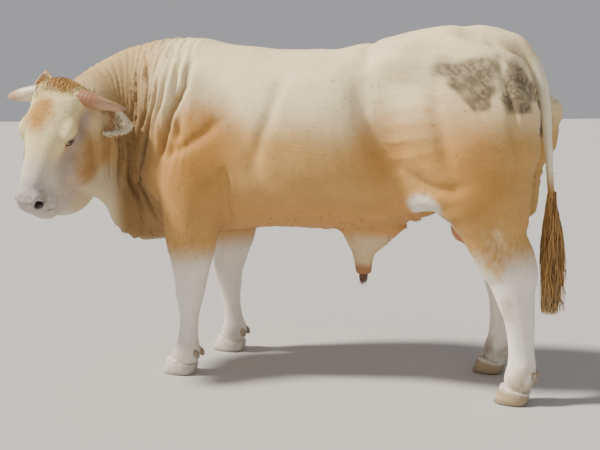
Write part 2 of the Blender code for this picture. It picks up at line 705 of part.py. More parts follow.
def poll_locks(rng):
    """Short rounded clumps on the poll, laid forward and outward from the crown."""
    made = []
    for row, (along, out, count, span) in enumerate(((-0.030, -0.010, 4, 0.055), (0.000, 0.008, 5, 0.075),
                                                     (0.035, 0.012, 4, 0.060))):
        for i in range(count):
            share = 0.0 if count == 1 else 2 * i / (count - 1) - 1
            left = span * share + 0.008 * (row % 2) + rng.uniform(-0.004, 0.004)
            root = on_head(along, left, out - 0.014 - 0.25 * abs(share) * 0.05)
            way = head_way(0.9, 0.45 * share + rng.uniform(-0.2, 0.2), 0.18)
            made.append(lock(root, way, rng.uniform(0.045, 0.060), 0.028, 0.016,
                             -0.30 * HEAD_AXES[:, 2], HEAD_AXES[:, 2]))
    return made


def tail_parts(grow=0.0):
    """The tail down to the top of its switch."""
    rows = spline([(*p, r) for p, r in zip(TAIL_PATH, TAIL_RADII)], 2)
    return tube("tail", rows[:, :3], np.stack([rows[:, 3], rows[:, 3] * 0.9], 1), (1, 0, 0.3), 8, grow)


def switch(rng):
    """The golden switch: flat tapered locks that leave a thin core, overlap and hang to the tip."""
    top = np.array(TAIL_PATH[-1]) - (0, 0, GAP)
    tip = np.array(SWITCH_TIP)
    path, sizes = [], []
    for t in np.linspace(0, 1, 9):
        path.append(top + t * (tip + (0.006, 0, 0.06) - top) + (SWITCH_BOW * math.sin(math.pi * t**1.13), 0, 0))
        wide = 0.020 + 0.017 * math.sin(math.pi * min(1, 1.1 * t)) - 0.020 * t**3
        sizes.append((wide, wide * 0.85))
    core = tube("tail_switch", path, sizes, (1, 0, 0), 8)
    locks = []
    count = 22
    for i in range(count):
        t = 0.04 + 0.60 * (i / (count - 1)) ** 0.9
        root = top + t * (tip - top) + (SWITCH_BOW * math.sin(math.pi * t**1.13), 0, 0)
        around = 2.4 * i + rng.uniform(-0.25, 0.25)
        outward = np.array([math.cos(around), math.sin(around), 0.0])
        fall = (1 - t) * (top[2] - tip[2])
        length = min(fall, rng.uniform(0.17, 0.25))
        way = outward * rng.uniform(0.20, 0.29) - np.array([0, 0, 1.0])
        curl = -outward * rng.uniform(0.10, 0.22)
        curl += (rng.uniform(-0.04, 0.02), rng.uniform(-0.05, 0.05), 0)
        width = rng.uniform(0.030, 0.040)
        locks.append(lock(root + 0.006 * outward, way, length * 0.98, width, 0.014, curl, outward))
    wisp_root = top + 0.52 * (tip - top) + (0.022, 0, 0)
    locks.append(lock(wisp_root, (0.45, -0.1, -1.0), 0.135, 0.018, 0.010, (0.45, 0, 0.10), (0, 1, 0)))
    combine(core, locks, "UNION")
    keep_largest(core)
    return core


SHEATH = (  # the middle of the sheath, half width, half depth
    (0.165, 0, 0.700, 0.100, 0.160), (0.150, 0, 0.640, 0.075, 0.125), (0.140, 0, 0.590, 0.052, 0.090),
    (0.134, 0, 0.545, 0.038, 0.056), (0.134, 0, 0.505, 0.033, 0.044), (0.134, 0, 0.465, 0.031, 0.039))
SHEATH_TOP = 0.585       # level at which the sheath leaves the belly
SHEATH_LEVELS = (        # of its ovals, and the share of their size that is left at the opening
    (SHEATH_TOP, 1.06), (0.562, 1), (0.538, 1), (0.505, 1), (0.475, 1), (0.456, 0.88), (0.447, 0.5))


def sheath_forms():
    """The sheath under the belly, which narrows to its opening."""
    rows = [(x, y, z, wide, deep, deep) for x, y, z, wide, deep in SHEATH]
    return [Sweep(rows, up=(-1, 0, 0), blend=0.05, end=0.02)]


def sheath(rng):
    """The sheath below the belly: level ovals down to a blunt opening, with dark locks that hang from it."""
    rows = np.array(SHEATH)
    turn = 2 * math.pi * np.arange(16) / 16
    rings = []
    for level, share in SHEATH_LEVELS:
        x, wide, deep = (np.interp(-level, -rows[:, 2], rows[:, i]) for i in (0, 3, 4))
        rings.append(np.column_stack([x + share * deep * np.cos(turn), -share * wide * np.sin(turn),
                                      np.full(16, level)]))
    body = loft("sheath", rings)
    root = np.array(SHEATH[-1][:3])
    locks = []
    for i in range(6):
        around = 2 * math.pi * i / 6
        outward = np.array([math.cos(around), math.sin(around), 0.0])
        way = 0.12 * outward - np.array([0.02, 0, 1.0])
        locks.append(lock(root + 0.010 * outward + (0, 0, 0.012), way, rng.uniform(0.070, 0.088), 0.018, 0.010,
                          -0.10 * outward, outward, stations=5))
    combine(body, locks, "UNION")
    keep_largest(body)
    return body


def scrotum(name, grow=0.0):
    """The scrotum, between the thighs, its neck narrower than its bag."""
    heights = (0.845, 0.810, 0.775, 0.735, 0.690, 0.650, 0.620, 0.606)
    widths = (0.030, 0.034, 0.042, 0.054, 0.062, 0.058, 0.040, 0.015)
    path = [(0.572 + 0.02 * (0.80 - z), 0.0, z) for z in heights]
    return tube(name, path, [(w, w * 1.05) for w in widths], (1, 0, 0), 12, grow)


def foot_frame(leg):
    """The middle of the foot on the floor, and the top of the claws as a plane that falls to the heel."""
    middle = np.asarray(LEGS[leg][3])
    return middle, unit((CORONET_SLOPE, 0.0, 1.0))


def claw(name, leg, s):
    """Half a foot: a D-shaped wall that widens from the coronet to a flat sole, with a pointed toe."""
    middle = np.asarray(LEGS[leg][3])
    rings = []
    for t in (0.0, 0.12, 0.5, 0.9, 1.0):
        toe = TOE[leg[:4]] * (0.70 + 0.30 * t)
        heel = HEEL[leg[:4]] * (0.86 + 0.14 * t) - 0.022 * t
        width = CLAW_WIDTH * (0.92 + 0.12 * math.sin(0.9 * math.pi * t) - (0.10 if t == 1.0 else 0.0))
        ring = []
        for u in np.linspace(0, 1, 9):
            angle = math.pi * u
            forward = math.cos(angle)
            reach = toe if forward > 0 else heel
            bulge = math.sin(angle) ** 0.75
            ring.append((-reach * forward, CLEFT + width * bulge))
        ring.append((0.5 * heel, CLEFT))
        ring.append((-0.4 * toe, CLEFT))
        rise = (1 - t) * (CORONET - GAP)
        points = []
        for x, y in ring:
            lift = rise - (1 - t) * CORONET_SLOPE * x
            points.append(middle + (x, s * y, max(lift, 0.0)))
        rings.append(points)
    return loft(name, rings)


def material(obj, name, colour, roughness):
    """Give an object its own plain finish."""
    mat = bpy.data.materials.new(name)
    mat.use_nodes = True
    shader = mat.node_tree.nodes["Principled BSDF"]
    shader.inputs["Base Color"].default_value = (*colour, 1.0)
    shader.inputs["Roughness"].default_value = roughness
    obj.data.materials.clear()
    obj.data.materials.append(mat)
    obj.data.shade_smooth()
    obj.data.set_sharp_from_angle(angle=math.radians(50))


def make_head(forms):
    """The head, with its sockets, lids, nostrils, line of the mouth and poll hair."""
    rng = np.random.default_rng(5)
    points, quads = surface(Body(forms), (-1.50, -0.93, 0.62), (-0.86, -0.02, 1.48), HEAD_STEP)
    head = put("head", points, quads)
    keep_largest(head)
    thin_out(head, HEAD_FACES)
    combine(head, [zone(head_planes())], "INTERSECT")
    keep_largest(head)
    combine(head, lids(1) + lids(-1) + poll_locks(rng), "UNION")
    keep_largest(head)
    cutters = [nostril(1), nostril(-1), mouth_cut()]
    for s in (1, -1):
        cutters += [eyeball("socket", s, GAP), horn("socket", s, GAP), ear("socket", s, EAR_ROOM)]
    for cutter in cutters:
        combine(head, [cutter], "DIFFERENCE")
    keep_largest(head)
    return head


def head_planes():
    """The region of the head: ahead of a plane behind the ears and the jaw, and clear of the shoulder."""
    place = np.asarray(HEAD_PLACE)
    behind = -unit(HEAD_AXES[:, 0] + HEAD_AXES[:, 2])
    left = HEAD_AXES[:, 1]
    return [(place + 0.108 * behind, behind), (place + 0.185 * left, left), (place - 0.30 * left, -left)]


def leg_planes(name):
    """The region of a leg, below a plane that slants from its outer side down to its inner side."""
    s = -1 if name.endswith("left") else 1
    x = LEGS[name][0][0]
    if name.startswith("fore"):
        return [((x, s * 0.20, 0.715), (0, -s * 0.62, 0.78)), ((-0.80, 0, 0), (-1, 0, 0)),
                ((-0.40, 0, 0), (1, 0, 0)), ((0, s * 0.06, 0), (0, -s, 0))]
    return [((0.40, 0, 0.765), (-0.68, 0, 0.73)), ((0, s * GAP / 2, 0), (0, -s, 0))]


def make_flesh(forms):
    """The body without the head, parted into neck, torso and legs."""
    points, quads = surface(Body(forms), (-1.40, -0.60, 0.0), (1.05, 0.45, 1.60), BODY_STEP)
    body = put("torso", points, quads)
    keep_largest(body)
    thin_out(body, BODY_FACES)
    combine(body, [zone(head_planes(), GAP)], "DIFFERENCE")
    keep_largest(body)
    pieces = {"torso": body}
    for name in LEGS:
        whole = take(body, name, leg_planes(name))
        middle, up = foot_frame(name)
        foot = [(middle + (0, 0, CORONET), -up)]
        combine(whole, [zone(foot)], "INTERSECT")
        keep_largest(whole)
        level = LEGS[name][1][2] + (BELOW_KNEE if name.startswith("fore") else ABOVE_HOCK)
        upper_name, lower_name = ("forearm", "cannon") if name.startswith("fore") else ("thigh", "cannon")
        lower = take(whole, f"{name}_{lower_name}", [((0, 0, level), (0, 0, 1))])
        whole.name = f"{name}_{upper_name}"
        pieces[whole.name] = whole
        pieces[lower.name] = lower
    pieces["neck"] = take(body, "neck", [((-0.85, 0, 1.10), (0.99, 0, -0.14))])
    below = [((0, 0, SHEATH_TOP), (0, 0, 1)), ((-0.05, 0, 0), (-1, 0, 0)), ((0.35, 0, 0), (1, 0, 0))]
    combine(body, [zone(below, GAP)], "DIFFERENCE")
    keep_largest(body)
    return pieces


def settle():
    """Put the model's origin under the middle of its box, on the floor."""
    points = []
    for obj in bpy.data.objects:
        points.append(np.array([v.co for v in obj.data.vertices]))
    points = np.vstack(points)
    low, high = points.min(0), points.max(0)
    shift = (-(low[0] + high[0]) / 2, -(low[1] + high[1]) / 2, 0.0)
    for obj in bpy.data.objects:
        for vertex in obj.data.vertices:
            vertex.co += type(vertex.co)(shift)
        obj.data.update()


def main():
    for obj in list(bpy.data.objects):
        bpy.data.objects.remove(obj)
    rng = np.random.default_rng(11)
    body_forms = trunk_forms() + neck_forms() + sheath_forms()
    for name in LEGS:
        body_forms.append(leg_form(name))
        if name.startswith("hind"):
            body_forms += hock_forms(name)
    head = make_head(neck_forms() + head_forms())
    pieces = make_flesh(body_forms + head_forms())
    for s in (1, -1):
        combine(pieces["neck"], [ear("socket", s, EAR_ROOM)], "DIFFERENCE")
    keep_largest(pieces["neck"])
    combine(pieces["torso"], [tail_parts(GAP)], "DIFFERENCE")
    keep_largest(pieces["torso"])
    for name in ("hind_left_thigh", "hind_right_thigh"):
        combine(pieces[name], [tail_parts(GAP), scrotum("socket", GAP)], "DIFFERENCE")
        keep_largest(pieces[name])
    material(head, "head", CREAM, 0.75)
    for name, piece in pieces.items():
        material(piece, name, WHITE if "cannon" in name else HIDE, 0.75)
    material(tail_parts(), "tail", CREAM, 0.75)
    material(switch(rng), "tail_switch", GOLD, 0.8)
    material(sheath(rng), "sheath", HIDE, 0.75)
    material(scrotum("scrotum"), "scrotum", PINK, 0.7)
    for s in (1, -1):
        side = side_name(s)
        material(horn(f"horn_{side}", s), f"horn_{side}", HORN, 0.45)
        material(ear(f"ear_{side}", s), f"ear_{side}", CREAM, 0.75)
        material(eyeball(f"eye_{side}", s), f"eye_{side}", DARK, 0.1)
    for leg in LEGS:
        for s, which in ((-1, "a"), (1, "b")):
            name = f"{leg}_claw_{which}"
            material(claw(name, leg, s), name, CLAW, 0.55)
    settle()


if __name__ == "__main__":
    main()
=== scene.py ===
"""A Blonde d'Aquitaine bull standing with its head turned to its left: its hide, coat, horns, claws and eyes.

One hide covers the body, read from the same sweeps and muscle forms as the solids. Tufts of hair root on it.
Places are worked out in metres with the soles on Z = 0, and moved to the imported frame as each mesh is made.
"""

import math

import bmesh
import bpy
import numpy as np
import openvdb
from mathutils import Matrix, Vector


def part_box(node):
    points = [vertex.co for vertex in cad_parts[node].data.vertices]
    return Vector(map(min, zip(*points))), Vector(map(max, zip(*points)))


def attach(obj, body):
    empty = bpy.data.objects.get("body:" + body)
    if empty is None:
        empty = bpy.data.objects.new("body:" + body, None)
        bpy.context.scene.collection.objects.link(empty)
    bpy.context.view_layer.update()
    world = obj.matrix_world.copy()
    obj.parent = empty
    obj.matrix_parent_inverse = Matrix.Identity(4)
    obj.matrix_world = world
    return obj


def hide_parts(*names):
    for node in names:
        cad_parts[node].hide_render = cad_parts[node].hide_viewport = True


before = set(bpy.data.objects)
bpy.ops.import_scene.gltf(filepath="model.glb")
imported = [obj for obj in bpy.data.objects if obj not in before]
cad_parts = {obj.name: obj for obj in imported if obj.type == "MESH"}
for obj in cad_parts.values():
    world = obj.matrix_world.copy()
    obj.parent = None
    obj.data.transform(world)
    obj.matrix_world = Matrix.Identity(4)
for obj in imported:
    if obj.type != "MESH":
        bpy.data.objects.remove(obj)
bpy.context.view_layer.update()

# Driving sizes, as in the solids
WITHERS = 1.475
CROUP = 1.505
HEAD_PLACE = (-1.124, -0.359, 1.286)
HEAD_TURN = math.radians(85.0)
HEAD_PITCH = math.radians(56.4)
HEAD_ROLL = math.radians(11.4)
HEAD_SCALE = 1.074
EYE = (0.208, 0.089, -0.060)
EYE_RADIUS = 0.0205
HORN_ROOT = (0.020, 0.092, -0.034)
HORN_TIP = (0.015, 0.279, -0.109)
HORN_RADIUS = 0.033
EAR_LENGTH = 0.198
EAR_WIDTH = 0.125
EAR_WALL = 0.006
EARS = {
    1: ((0.060, 0.116, -0.132), (0.05, 1.00, 0.00), (0.50, 0.10, 0.85)),
    -1: ((0.050, -0.118, -0.140), (-0.95, -0.06, 0.33), (0.50, -0.15, 0.85)),
}
LEGS = {
    "fore_left": ((-0.575, -0.215, 0.80), (-0.606, -0.19, 0.42), (-0.63, -0.20, 0.12), (-0.655, -0.20, 0)),
    "fore_right": ((-0.545, 0.215, 0.80), (-0.597, 0.200, 0.40), (-0.575, 0.205, 0.12), (-0.590, 0.208, 0)),
    "hind_left": ((0.660, -0.225, 0.82), (0.785, -0.190, 0.50), (0.832, -0.195, 0.14), (0.812, -0.200, 0)),
    "hind_right": ((0.585, 0.225, 0.82), (0.690, 0.190, 0.50), (0.696, 0.195, 0.14), (0.665, 0.190, 0)),
}
FORE_SECTIONS = (  # joints passed, half width, half depth before and behind
    (-0.60, 0.060, 0.090, 0.090), (-0.30, 0.084, 0.125, 0.112), (0.00, 0.093, 0.148, 0.128),
    (0.30, 0.090, 0.135, 0.125), (0.57, 0.080, 0.120, 0.115), (0.80, 0.070, 0.095, 0.092),
    (1.00, 0.068, 0.078, 0.075), (1.25, 0.058, 0.066, 0.062), (1.55, 0.044, 0.044, 0.046),
    (1.85, 0.046, 0.046, 0.050), (2.05, 0.058, 0.062, 0.064), (2.40, 0.055, 0.062, 0.060),
    (2.62, 0.044, 0.052, 0.046))
HIND_SECTIONS = (
    (-0.70, 0.080, 0.120, 0.120), (-0.35, 0.112, 0.170, 0.175), (0.00, 0.128, 0.170, 0.195),
    (0.22, 0.115, 0.130, 0.160), (0.59, 0.090, 0.112, 0.122), (0.81, 0.075, 0.106, 0.115),
    (1.00, 0.068, 0.094, 0.101), (1.22, 0.058, 0.070, 0.089),
    (1.45, 0.050, 0.047, 0.080), (1.67, 0.046, 0.042, 0.070), (1.85, 0.048, 0.047, 0.063),
    (2.00, 0.058, 0.060, 0.062), (2.35, 0.056, 0.062, 0.060), (2.62, 0.044, 0.052, 0.044))
CORONET = 0.058
CORONET_SLOPE = 0.22
TOE = {"fore": 0.096, "hind": 0.084}
HEEL = {"fore": 0.078, "hind": 0.068}
CLAW_WIDTH = 0.056
CLEFT = 0.003
TAIL_PATH = ((0.690, 0, 1.418), (0.757, 0, 1.426), (0.815, 0, 1.378), (0.863, 0, 1.290),
             (0.890, 0, 1.170), (0.902, 0, 1.030), (0.912, 0, 0.900), (0.920, 0, 0.800))
TAIL_RADII = (0.040, 0.044, 0.038, 0.032, 0.028, 0.025, 0.022, 0.020)
SWITCH_TIP = (0.892, 0.0, 0.318)
SWITCH_BOW = 0.024
SHEATH = (
    (0.165, 0, 0.700, 0.100, 0.160), (0.150, 0, 0.640, 0.075, 0.125), (0.140, 0, 0.590, 0.052, 0.090),
    (0.134, 0, 0.545, 0.038, 0.056), (0.134, 0, 0.505, 0.033, 0.044), (0.134, 0, 0.465, 0.031, 0.039))

# The coat
SKIN_DEPTH = 0.0035      # of the skin under the solids' surface
SKIN_STEP = 0.0132
GAP = 0.0006
BAKE_PATCH = 0.003       # width of a tuft's patch on the bake map

# Camera, fitted to the photograph's frame
CAMERA_PLACE = (1.211, -3.886, 1.264)
CAMERA_YAW = math.radians(19.38)
CAMERA_PITCH = math.radians(-8.38)
CAMERA_ROLL = math.radians(-1.01)
LENS = 56.4

# Colours, as the light that comes back from each
TAN = (0.55, 0.315, 0.098)
GOLD = (0.48, 0.222, 0.045)
CREAM = (0.86, 0.71, 0.42)
WHITE = (0.84, 0.79, 0.69)
# painted shade: the grey of the face's shaded side plane
FACE_SIDE_SHADE = (0.36, 0.285, 0.245)
MUZZLE = (0.34, 0.30, 0.285)
SOIL = (0.100, 0.070, 0.036)
RED_SKIN = (0.60, 0.25, 0.12)
SWITCH_GOLD = (0.47, 0.265, 0.085)


# Vectors and paths

def unit(v):
    """v at length one, along its last axis."""
    v = np.asarray(v, float)
    return v / np.maximum(np.linalg.norm(v, axis=-1, keepdims=True), 1e-9)


def smooth(low, high, x):
    """0 below low and 1 above high, with an S curve between; low may be the greater."""
    t = np.clip((np.asarray(x, float) - low) / (high - low), 0, 1)
    return t * t * (3 - 2 * t)


def mixed(a, b, share):
    """Colours a and b, mixed by a share at each point."""
    share = np.asarray(share, float)[..., None]
    return np.asarray(a, float) * (1 - share) + np.asarray(b, float) * share


def waves(points, size, seed):
    """Smooth noise, about -1 to 1: the mean of nine sines in random directions, `size` between crests."""
    rng = np.random.default_rng(seed)
    ways = rng.normal(size=(9, 3)) * 2 * math.pi / size / 1.7
    phases = rng.uniform(0, 2 * math.pi, 9)
    return np.sin(points @ ways.T + phases).mean(-1) * 1.6


def head_axes():
    """The head's own axes as columns: along the face to the muzzle, to its left, and out of the forehead."""
    heading = np.array([-math.cos(HEAD_TURN), -math.sin(HEAD_TURN), 0.0])
    up = np.array([0.0, 0.0, 1.0])
    left = np.cross(up, heading)
    along = math.cos(HEAD_PITCH) * heading - math.sin(HEAD_PITCH) * up
    out = math.sin(HEAD_PITCH) * heading + math.cos(HEAD_PITCH) * up
    c, s = math.cos(HEAD_ROLL), math.sin(HEAD_ROLL)
    return np.stack([along, c * left - s * out, s * left + c * out], 1)


HEAD_AXES = head_axes()


def on_head(*place):
    """A place given on the head, in the model's frame."""
    return np.asarray(HEAD_PLACE) + HEAD_SCALE * (HEAD_AXES @ np.array(place, float))


def head_way(*way):
    """A direction given on the head, in the model's frame."""
    return unit(HEAD_AXES @ np.array(way, float))


def head_places(points):
    """Points of the model's frame, as places on the head: along, left and out."""
    return (points - np.asarray(HEAD_PLACE)) @ HEAD_AXES / HEAD_SCALE


low_eye, high_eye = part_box("eye_left")
SHIFT = (np.array(low_eye) + np.array(high_eye)) / 2 - on_head(*EYE)
SHIFT[2] = 0.0


def spline(values, steps):
    """Rows of values, joined by a Catmull-Rom curve with this many steps from row to row."""
    v = np.asarray(values, float)
    padded = np.vstack([2 * v[0] - v[1], v, 2 * v[-1] - v[-2]])
    t = (np.arange(steps) / steps)[None, :, None]
    a, b, c, d = (padded[i : i + len(v) - 1, None] for i in range(4))
    rows = 0.5 * (2 * b + (c - a) * t + (2 * a - 5 * b + 4 * c - d) * t**2 + (3 * b - a - 3 * c + d) * t**3)
    return np.vstack([rows.reshape(-1, v.shape[1]), v[-1:]])


def path_axes(centre, up):
    """Along a path, its tangent, and the reference direction made square to it."""
    tangent = unit(np.gradient(centre, axis=0))
    up = np.asarray(up, float) - (tangent @ np.asarray(up, float))[:, None] * tangent
    return tangent, unit(up)


# The body's forms and their distance

class Sweep:
    """A rounded section carried along a path.

    Each station is x, y, z, half width, and half size towards `up` and away from it. The distance is measured
    from the path along the ray to the point, less the section's own radius on that ray."""

    def __init__(self, stations, up=(0, 0, 1), power=2.0, blend=0.05, end=0.04, steps=4, hollow=False):
        rows = spline(stations, steps)
        self.centre, self.sizes = rows[:, :3], np.maximum(rows[:, 3:6], 0.002)
        tangent, self.up = path_axes(self.centre, up)
        self.across = np.cross(self.up, tangent)
        self.power, self.blend, self.end, self.hollow = power, blend, end, hollow
        reach = self.sizes.max(axis=1)[:, None]
        self.low, self.high = (self.centre - reach).min(0), (self.centre + reach).max(0)

    def distance(self, p):
        nearest = np.full(len(p), np.inf)
        offset, across, up = np.zeros_like(p), np.zeros_like(p), np.zeros_like(p)
        sizes = np.zeros((len(p), 3))
        for i in range(len(self.centre) - 1):
            a, along = self.centre[i], self.centre[i + 1] - self.centre[i]
            t = np.clip((p - a) @ along / (along @ along), 0, 1)
            away = p - a - t[:, None] * along
            square = (away * away).sum(1)
            closer = square < nearest
            nearest[closer] = square[closer]
            offset[closer] = away[closer]
            share = t[closer, None]
            across[closer] = self.across[i] * (1 - share) + self.across[i + 1] * share
            up[closer] = self.up[i] * (1 - share) + self.up[i + 1] * share
            sizes[closer] = self.sizes[i] * (1 - share) + self.sizes[i + 1] * share
        wide = (offset * across).sum(1)
        high = (offset * up).sum(1)
        rest = np.sqrt(np.maximum(nearest - wide**2 - high**2, 0))
        tall = np.where(high > 0, sizes[:, 1], sizes[:, 2])
        n = self.power
        shares = np.abs(wide / sizes[:, 0]) ** n + np.abs(high / tall) ** n + (rest / self.end) ** n
        grown = shares ** (1 / n)
        radius = np.sqrt(nearest)
        return radius - radius / np.maximum(grown, 1e-9)


class Blob:
    """An ellipsoid, with its half sizes along its own axes. A hollow one is taken away from the rest."""

    def __init__(self, place, sizes, axes=None, blend=0.04, hollow=False):
        self.place, self.sizes = np.asarray(place, float), np.asarray(sizes, float)
        self.axes = np.eye(3) if axes is None else np.asarray(axes, float)
        self.blend, self.hollow = blend, hollow
        reach = np.abs(self.axes) @ self.sizes
        self.low, self.high = self.place - reach, self.place + reach

    def distance(self, p):
        local = (p - self.place) @ self.axes
        grown = np.sqrt(((local / self.sizes) ** 2).sum(1))
        steep = np.sqrt(((local / self.sizes**2) ** 2).sum(1))
        return grown * (grown - 1) / np.maximum(steep, 1e-9)


def leaning(degrees):
    """Axes turned about Y, so that the first leans up towards +X by this many degrees."""
    a = math.radians(degrees)
    return np.array([[math.cos(a), 0, -math.sin(a)], [0, 1, 0], [math.sin(a), 0, math.cos(a)]])


def trunk_forms():
    """The trunk, its muscles, the shoulders, the rump and the flank folds, both sides alike."""
    trunk = [  # x, y, z of the widest level, half width, to the back, to the belly
        (-0.84, 0, 1.03, 0.170, 0.330, 0.300), (-0.76, 0, 1.05, 0.205, 0.405, 0.400),
        (-0.66, 0, 1.06, 0.240, WITHERS - 1.06, 0.440), (-0.45, 0, 1.05, 0.285, 0.405, 0.425),
        (-0.20, 0, 1.03, 0.330, 0.398, 0.380), (0.05, 0, 1.02, 0.345, 0.412, 0.375),
        (0.25, 0, 1.04, 0.305, 0.418, 0.375), (0.40, 0, 1.08, 0.265, 0.408, 0.340),
        (0.54, 0, 1.12, 0.265, CROUP - 1.113, 0.280), (0.64, 0, 1.15, 0.240, 0.366, 0.250),
        (0.73, 0, 1.18, 0.185, 0.282, 0.200)]
    forms = [Sweep(trunk, power=2.3, end=0.035)]
    for s in (-1, 1):
        back = 0.030 * s     # the left hip stands forward, as the spine bends to that side
        thigh = [  # half width, before, behind
            (0.66, s * 0.130, 1.36, 0.085, 0.180, 0.120),
            (0.625, s * 0.155, 1.23, 0.150, 0.325, 0.283 + back),
            (0.62, s * 0.176, 1.06, 0.184, 0.345, 0.300 + back),
            (0.655, s * 0.184, 0.91, 0.172, 0.278, 0.265 + back / 2),
            (0.69, s * 0.192, 0.81, 0.140, 0.180, 0.180), (0.70, s * 0.205, 0.72, 0.100, 0.118, 0.150)]
        flank = [
            (0.20, s * 0.180, 0.780, 0.050, 0.06, 0.06), (0.36, s * 0.190, 0.800, 0.045, 0.06, 0.05),
            (0.50, s * 0.200, 0.825, 0.045, 0.05, 0.04)]
        forms += [
            Sweep(thigh, up=(-1, 0, 0), power=2.15, blend=0.055, end=0.05),
            Sweep(flank, blend=0.07),
            Blob((-0.60, s * 0.190, 1.10), (0.27, 0.090, 0.150), leaning(108), 0.08),        # shoulder blade
            Blob((-0.52, s * 0.225, 0.93), (0.170, 0.088, 0.175), leaning(-25), 0.06),       # triceps
            Blob((-0.745, s * 0.165, 0.93), (0.105, 0.095, 0.170), leaning(10), 0.07),      # shoulder point
            Blob((0.385, s * 0.205, 1.345), (0.12, 0.075, 0.075), leaning(-8), 0.09),        # hook bone
            Blob((0.590, s * 0.155, 1.265), (0.22, 0.13, 0.14), leaning(-15), 0.06),         # rump
            Blob((0.795 + 0.6 * back, s * 0.115, 1.285), (0.070, 0.060, 0.090), leaning(20), 0.06),  # pin
        ]
    forms += [
        Blob((0.620, 0, 1.13), (0.240, 0.13, 0.37), None, 0.05),            # between the thighs
        Blob((0.700, 0, 1.400), (0.085, 0.060, 0.070), None, 0.05),         # root of the tail
        Blob((-0.80, 0, 0.76), (0.14, 0.13, 0.15), leaning(20), 0.08),      # brisket
    ]
    return forms


def down_leg(joints, passed):
    """The place on a chain of joints after this many of them, also a part of one."""
    joints = np.asarray(joints, float)
    first = int(np.clip(math.floor(passed), 0, len(joints) - 2))
    return joints[first] + (passed - first) * (joints[first + 1] - joints[first])


def leg_forms(name):
    """One leg as a sweep, with the toe side first, and the point of the hock on a hind leg."""
    sections = FORE_SECTIONS if name.startswith("fore") else HIND_SECTIONS
    rows = [(*down_leg(LEGS[name], passed), *sizes) for passed, *sizes in sections]
    forms = [Sweep(rows, up=(-1, 0, 0), blend=0.05, end=0.03)]
    if name.startswith("hind"):
        hock = np.asarray(LEGS[name][1])
        forms.append(Blob(hock + (0.060, 0, 0.075), (0.030, 0.028, 0.085), leaning(14), 0.05))
    return forms


NECK = (
    (-0.50, 0.000, 1.08, 0.170, 0.320, 0.280), (-0.63, 0.000, 1.10, 0.220, 0.371, 0.335),
    (-0.78, 0.005, 1.13, 0.215, 0.360, 0.370),
    (-0.90, -0.005, 1.15, 0.195, 0.330, 0.350), (-0.99, -0.045, 1.15, 0.182, 0.285, 0.320),
    (-1.06, -0.110, 1.14, 0.168, 0.238, 0.300), (-1.10, -0.190, 1.12, 0.155, 0.195, 0.285),
    (-1.108, -0.270, 1.10, 0.135, 0.180, 0.265))


def neck_forms():
    """The neck bends to the left between the shoulders and the head, with a thick crest and a dewlap."""
    dewlap = [
        (-1.085, -0.290, 0.915, 0.060, 0.10, 0.080), (-1.045, -0.190, 0.885, 0.055, 0.12, 0.098),
        (-0.985, -0.100, 0.815, 0.050, 0.13, 0.115), (-0.930, -0.040, 0.718, 0.050, 0.13, 0.142),
        (-0.870, -0.005, 0.700, 0.056, 0.13, 0.135), (-0.790, 0.000, 0.700, 0.062, 0.13, 0.115)]
    return [Sweep(NECK, power=2.1, blend=0.07), Sweep(dewlap, blend=0.06, end=0.05)]


def head_blob(place, sizes, **more):
    """A blob given on the head."""
    return Blob(on_head(*place), np.array(sizes) * HEAD_SCALE, HEAD_AXES, **more)


def head_sweep(stations, **more):
    """A sweep given on the head, with its sizes towards the forehead and away from it."""
    rows = [(*on_head(a, l, o), *(np.array(sizes) * HEAD_SCALE)) for a, l, o, *sizes in stations]
    return Sweep(rows, up=HEAD_AXES[:, 2], **more)


